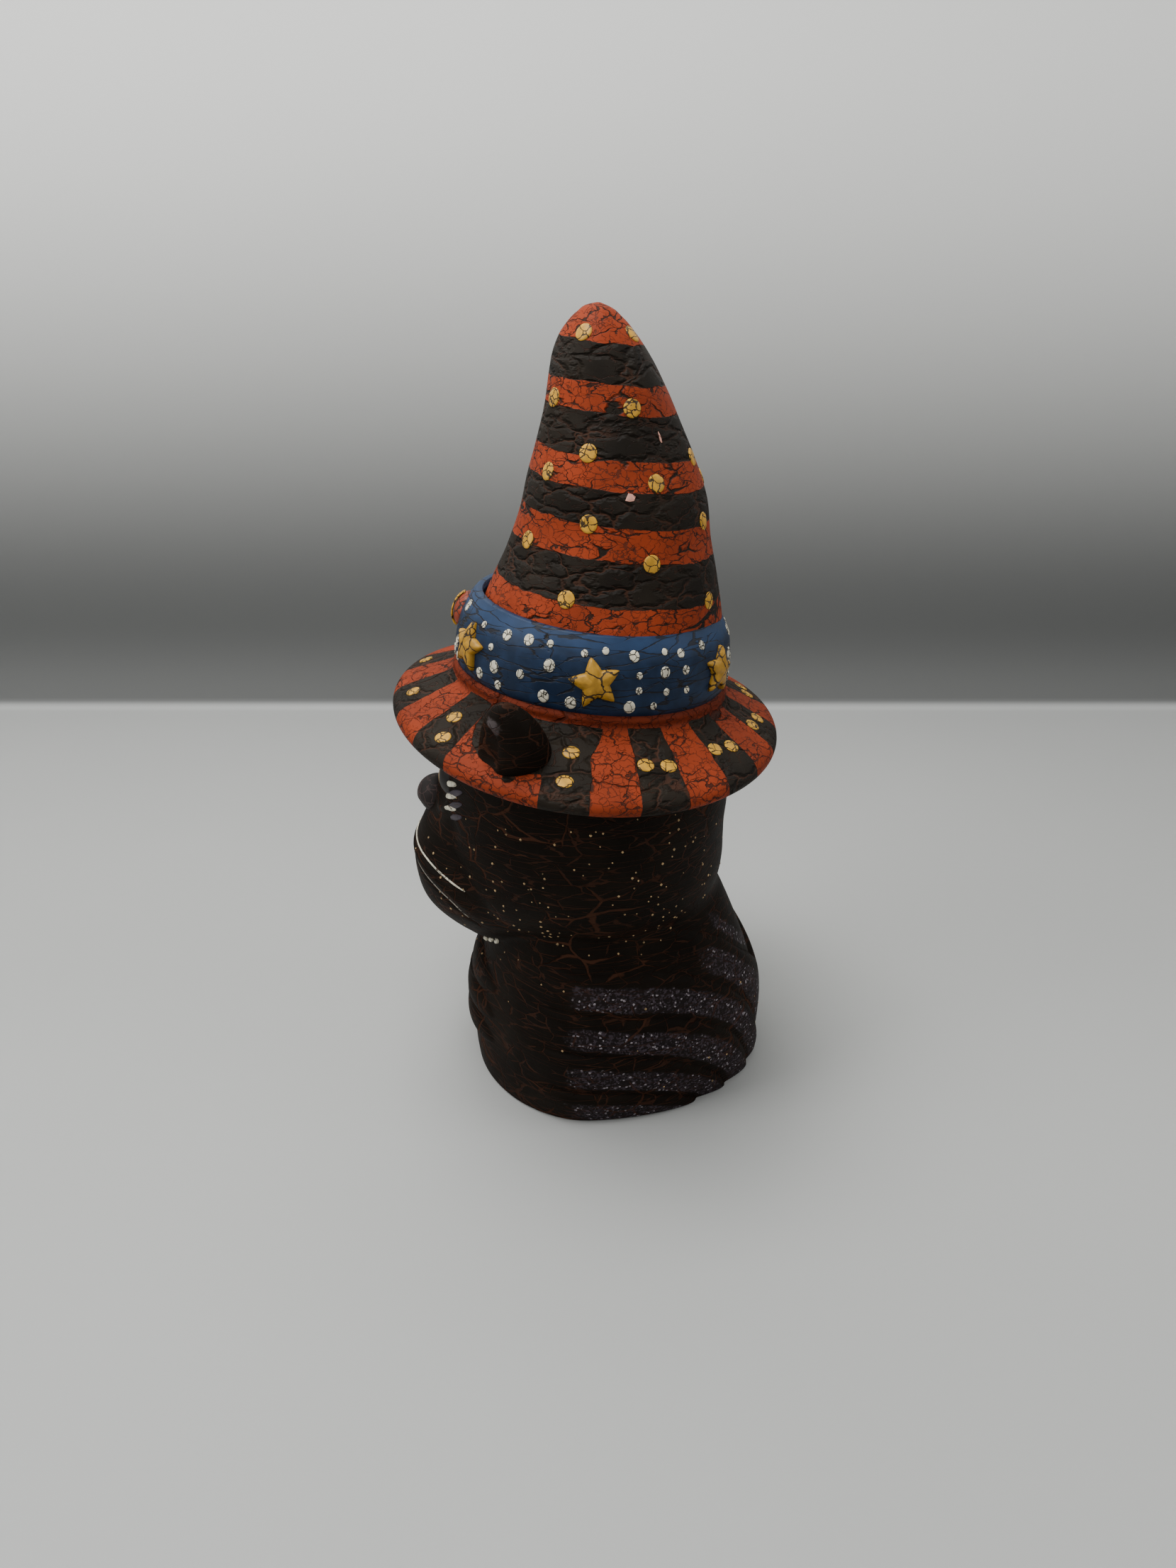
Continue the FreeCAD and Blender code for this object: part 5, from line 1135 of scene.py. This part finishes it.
def make_button(form, colours, gold, material):
    """The domed, ribbed button at the front of the band, with a gold strip across it."""
    low, high = (np.array(corner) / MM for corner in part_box("band_brooch"))
    columns, rows = 72, 30
    turn = np.linspace(0, 2 * math.pi, columns, endpoint=False)[None, :]
    tilt = np.linspace(0.03, math.pi / 2, rows)[:, None]
    rib = 1 + 0.06 * np.abs(np.cos(4 * turn)) * np.sin(tilt)
    middle = 38.5
    x = 6.6 * np.sin(tilt) * np.cos(turn) * rib
    up = 6.4 * np.sin(tilt) * np.sin(turn) * rib
    out = 3.8 * np.cos(tilt) + 0 * turn
    points = on_hat(x, -(50.0 + out - 0.18 * up), middle + up)
    rim = on_hat(x[-1], -(46.5 - 0.18 * up[-1]), middle + up[-1])
    rows_all = np.concatenate([points, rim[None]])
    flat = rows_all.reshape(-1, 3)
    places = np.concatenate([flat, [rows_all[0].mean(0)], [rim.mean(0)]])
    count = rows + 1
    faces = ring_faces(count, columns)
    last = (count - 1) * columns
    for j in range(columns):
        k = (j + 1) % columns
        faces += [(count * columns, k, j), (count * columns + 1, last + j, last + k)]
    piece = new_piece("ribbon_button", places, faces, material)
    belongs(piece, "hat", "band_brooch", slot="brooch_paint")
    t = np.linspace(-1, 1, 60)
    arc = 1.34 * t
    strip = []
    for angle in np.linspace(0, 2 * math.pi, 12, endpoint=False):
        reach = 6.75 + 0.65 * math.sin(angle)
        across = 1.3 * math.cos(angle) * np.ones_like(t)
        strip.append(on_hat(across, -(50.4 + reach * 0.60 * np.cos(arc) - 0.18 * reach * np.sin(arc)),
                            middle + reach * 0.97 * np.sin(arc)))
    points = np.stack(strip, 1)
    faces = ring_faces(60, 12) + [list(range(12)), [59 * 12 + j for j in range(12)]]
    strip_piece = new_piece("ribbon_button_strip", points, faces, gold)
    outward_faces(strip_piece.data)
    belongs(strip_piece, "hat", slot="star_gold")


# ---- works inside ----------------------------------------------------------------------------------------
def works_finishes():
    """One finish for each material slot of the drive, base and battery parts."""
    steel = worked_finish("steel_drawn", (0.56, 0.56, 0.57), 0.30, 1.0, 0.4 * MM, (1, 1, 0.1))
    return {
        "moulded_black": worked_finish("moulding_black", (0.028, 0.028, 0.030), 0.52, 0.0, 0.35 * MM, depth=0.05 * MM),
        "moulded_white": worked_finish("moulding_natural", (0.70, 0.68, 0.62), 0.38, 0.0, 0.6 * MM),
        "steel": steel,
        "brass": worked_finish("brass_turned", (0.66, 0.47, 0.19), 0.30, 1.0, 0.3 * MM, (1, 1, 4)),
        "motor_steel": worked_finish("motor_can_plated", (0.52, 0.52, 0.53), 0.36, 1.0, 0.5 * MM, (1, 1, 0.15)),
        "cell_wrap": worked_finish("cell_sleeve", (0.03, 0.20, 0.10), 0.24, 0.0, 1.2 * MM, (0.1, 1, 1)),
        "board_green": worked_finish("board_mask", (0.02, 0.16, 0.06), 0.30, 0.0, 0.5 * MM, (1, 4, 1)),
        "chip_black": worked_finish("chip_moulding", (0.018, 0.018, 0.018), 0.55, 0.0, 0.3 * MM),
        "speaker_paper": worked_finish("cone_paper", (0.10, 0.09, 0.08), 0.80, 0.0, 0.7 * MM, depth=0.08 * MM),
        "magnet": worked_finish("magnet_ferrite", (0.10, 0.10, 0.11), 0.55, 0.3, 0.8 * MM, depth=0.05 * MM),
        "lead_red": worked_finish("lead_sleeve", (0.36, 0.02, 0.015), 0.42, 0.0, 0.8 * MM),
    }


# ---- operators -------------------------------------------------------------------------------------------
def settings(context):
    return context.scene.cat_form, context.scene.cat_paint


def found(name):
    piece = bpy.data.objects.get(name)
    if piece is None:
        raise RuntimeError("build " + name + " first")
    return piece


class CATFIG_OT_bust(bpy.types.Operator):
    """Sculpt the cast bust"""
    bl_idname = "catfig.bust"
    bl_label = "Bust"

    def execute(self, context):
        form, colours = settings(context)
        piece = make_bust(form, colours)
        places = np.array([v.co for v in piece.data.vertices]) / MM
        cheek = eased(places[:, 2], 62, 92) * (1 - eased(places[:, 2], 132, 150))
        sideways = eased(np.abs(places[:, 0]), 22, 42)
        off_foot = eased(places[:, 2], 3, 8)
        set_attribute(piece, "specks", (0.10 + 0.9 * cheek * sideways) * off_foot)
        return {"FINISHED"}


class CATFIG_OT_face(bpy.types.Operator):
    """Make the nose, eyes, mouth lines, lashes and claws"""
    bl_idname = "catfig.face"
    bl_label = "Face"

    def execute(self, context):
        form, colours = settings(context)
        bust = found("cat_bust")
        cream = dab_paint("cream_on_face", colours.cream, shade(colours.undercoat, 0.8), 6 * MM, 0.18 * MM)
        dull = dab_paint("plum_strokes", (0.042, 0.032, 0.044), shade(colours.undercoat, 0.8), 6 * MM, 0.2 * MM, 0.45)
        grey = dab_paint("worn_lip_line", (0.30, 0.27, 0.22), shade(colours.charcoal, 1.2), 6 * MM, 0.3 * MM, 0.4)
        make_nose(colours)
        make_eye("cat_eye_left", "eye_left", 1, colours)
        make_eye("cat_eye_right", "eye_right", -1, colours)
        make_mouth(form, cream, grey)
        make_face_marks(form, bust, cream, dull, laid_pieces_tree())
        return {"FINISHED"}


class CATFIG_OT_hat(bpy.types.Operator):
    """Make the striped hat"""
    bl_idname = "catfig.hat"
    bl_label = "Hat"

    def execute(self, context):
        form, colours = settings(context)
        make_hat(form, colours)
        return {"FINISHED"}


class CATFIG_OT_band(bpy.types.Operator):
    """Make the navy band with its button"""
    bl_idname = "catfig.band"
    bl_label = "Band"

    def execute(self, context):
        form, colours = settings(context)
        make_band(form, colours)
        gold = dab_paint("strip_gold", colours.gold, shade(colours.stripe, 0.6), 3 * MM, 0.25 * MM)
        red = dab_paint("button_orange", shade(colours.orange, 0.9), shade(colours.stripe, 0.9), 4 * MM, 0.35 * MM)
        make_button(form, colours, gold, red)
        return {"FINISHED"}


class CATFIG_OT_stars(bpy.types.Operator):
    """Set the stars round the band"""
    bl_idname = "catfig.stars"
    bl_label = "Stars"

    def execute(self, context):
        form, colours = settings(context)
        gold = dab_paint("star_mustard", shade(colours.gold, 0.72), shade(colours.stripe, 0.8), 6.5 * MM, 0.5 * MM)
        make_stars(form, found("hat_ribbon"), gold, laid_pieces_tree())
        return {"FINISHED"}


class CATFIG_OT_dots(bpy.types.Operator):
    """Dab the dots on the hat and band"""
    bl_idname = "catfig.dots"
    bl_label = "Dots"

    def execute(self, context):
        form, colours = settings(context)
        gold = dab_paint("dot_gold", colours.gold, shade(colours.stripe, 0.7), 3.2 * MM, 0.34 * MM)
        cream = dab_paint("dot_cream", colours.cream, shade(colours.stripe, 0.7), 2.4 * MM, 0.26 * MM)
        make_gold_dots(form, found("witch_hat"), gold, laid_pieces_tree())
        make_chips(found("witch_hat"), laid_pieces_tree())
        make_band_dots(form, found("hat_ribbon"), cream, laid_pieces_tree())
        return {"FINISHED"}


class CATFIG_OT_ears(bpy.types.Operator):
    """Make the ears that stand through the brim"""
    bl_idname = "catfig.ears"
    bl_label = "Ears"

    def execute(self, context):
        colours = settings(context)[1]
        material = cast_paint("ear_charcoal_crackled", colours, tip_wear_and_highlight=True)
        make_ear("cat_ear_left", "ear_left", 1, colours, material)
        make_ear("cat_ear_right", "ear_right", -1, colours, material)
        return {"FINISHED"}


class CATFIG_OT_specks(bpy.types.Operator):
    """Throw fine paint specks over the bust"""
    bl_idname = "catfig.specks"
    bl_label = "Specks"

    def execute(self, context):
        form, colours = settings(context)
        ochre = dab_paint("speck_ochre", (0.52, 0.34, 0.16), shade(colours.stripe, 0.9), 2 * MM, 0.1 * MM)
        make_specks(form, found("cat_bust"), ochre)
        return {"FINISHED"}


class CATFIG_OT_works(bpy.types.Operator):
    """Finish the drive, base and battery parts"""
    bl_idname = "catfig.works"
    bl_label = "Works"

    def execute(self, context):
        finishes = works_finishes()
        slots = {part["node"]: part["material_slot"] for part in frame["record"]["subparts"]}
        for node, piece in frame["nodes"].items():
            material = finishes.get(slots.get(node))
            if material:
                for place in piece.material_slots:
                    place.material = material
        return {"FINISHED"}


class CATFIG_OT_stage(bpy.types.Operator):
    """Lay the floor and set the lights and the camera"""
    bl_idname = "catfig.stage"
    bl_label = "Stage"

    def execute(self, context):
        scene = context.scene
        bend = np.linspace(0, math.pi / 2, 24)
        corner, wall, sweep = -400.0, 1500.0, 8.0
        away = np.concatenate([[1500, 0], corner + sweep - sweep * np.sin(bend), [corner]])
        height = np.concatenate([[0, 0], sweep - sweep * np.cos(bend), [wall]])
        points = np.stack([np.repeat(away, 2), np.tile([-1600.0, 1600.0], len(away)), np.repeat(height, 2)], -1)
        faces = [(2 * i, 2 * i + 1, 2 * i + 3, 2 * i + 2) for i in range(len(away) - 1)]
        paint = Paint("backdrop_pale_grey")
        haze = paint.noise(0.25, 2.0)
        rise = Number(paint, paint.node("ShaderNodeSeparateXYZ", {}, {0: paint.place}).outputs[2])
        low = paint.mix(haze, (0.41, 0.415, 0.40), (0.455, 0.46, 0.445))
        # painted shade and light on the backdrop: pale floor, dark at the fold and low on the wall, brightening higher
        # up the wall
        tone = paint.mix(paint.smooth(rise, 0.0005, 0.006), low, (0.160, 0.163, 0.158))
        tone = paint.mix(paint.smooth(rise, 0.002, 0.07), tone, (0.095, 0.097, 0.094))
        tone = paint.mix(paint.smooth(rise, 0.07, 0.45), tone, (0.86, 0.86, 0.83))
        floor = new_piece("backdrop", points, faces, paint.finish(tone, 0.62, paint.noise(1.5 * MM), 0.02 * MM))
        normal_up = floor.data.polygons[0].normal.z
        if normal_up < 0:
            floor.data.flip_normals()
        for name, place, aim, size, power in (
                ("top_softbox", (0.05, -0.25, 1.20), (0, 0, 0.1), 0.6, 13.0),
                ("left_softbox", (0.35, -1.0, 0.75), (0, 0, 0.12), 0.5, 5.5),
                ("right_softbox", (0.15, 1.1, 0.8), (0, 0, 0.15), 0.6, 3.2),
                ("camera_fill", (1.2, 0.1, 0.9), (0, 0, 0.12), 0.7, 3.5)):
            light = bpy.data.lights.new(name, "AREA")
            light.shape, light.size, light.energy = "SQUARE", size, power
            lamp = bpy.data.objects.new(name, light)
            lamp.location = place
            lamp.rotation_euler = (Vector(aim) - Vector(place)).to_track_quat("-Z", "Y").to_euler()
            scene.collection.objects.link(lamp)
        world = bpy.data.worlds.new("pale_room")
        world.use_nodes = True
        world.node_tree.nodes["Background"].inputs["Color"].default_value = (0.80, 0.82, 0.85, 1)
        world.node_tree.nodes["Background"].inputs["Strength"].default_value = 0.30
        scene.world = world
        camera = bpy.data.objects.new("camera", bpy.data.cameras.new("camera"))
        camera.data.lens = 24.97
        camera.data.sensor_width = 36.0
        camera.data.clip_start = 0.01
        camera.location = (0.399, 0.0, 0.322)
        camera.rotation_euler = (math.radians(90 - 26), 0, math.radians(90))
        scene.collection.objects.link(camera)
        scene.camera = camera
        return {"FINISHED"}


class CATFIG_PT_panel(bpy.types.Panel):
    """Buttons for each step and the sizes and colours that they use"""
    bl_idname = "CATFIG_PT_panel"
    bl_label = "Cat Figure"
    bl_space_type = "VIEW_3D"
    bl_region_type = "UI"
    bl_category = "Cat Figure"

    def draw(self, context):
        form, colours = settings(context)
        for group in (form, colours):
            box = self.layout.box()
            for name in group.bl_rna.properties.keys():
                if name not in {"rna_type", "name"}:
                    box.prop(group, name)
        for step in STEPS:
            self.layout.operator(step.bl_idname)


STEPS = (CATFIG_OT_stage, CATFIG_OT_bust, CATFIG_OT_face, CATFIG_OT_hat, CATFIG_OT_band, CATFIG_OT_stars,
         CATFIG_OT_dots, CATFIG_OT_ears, CATFIG_OT_specks, CATFIG_OT_works)
CLASSES = (CatForm, CatPaint, *STEPS, CATFIG_PT_panel)


def register():
    for kind in CLASSES:
        bpy.utils.register_class(kind)
    bpy.types.Scene.cat_form = PointerProperty(type=CatForm)
    bpy.types.Scene.cat_paint = PointerProperty(type=CatPaint)


def unregister():
    del bpy.types.Scene.cat_form
    del bpy.types.Scene.cat_paint
    for kind in reversed(CLASSES):
        bpy.utils.unregister_class(kind)


def main():
    register()
    for step in STEPS:
        group, name = step.bl_idname.split(".")
        getattr(getattr(bpy.ops, group), name)()


if __name__ == "__main__":
    main()
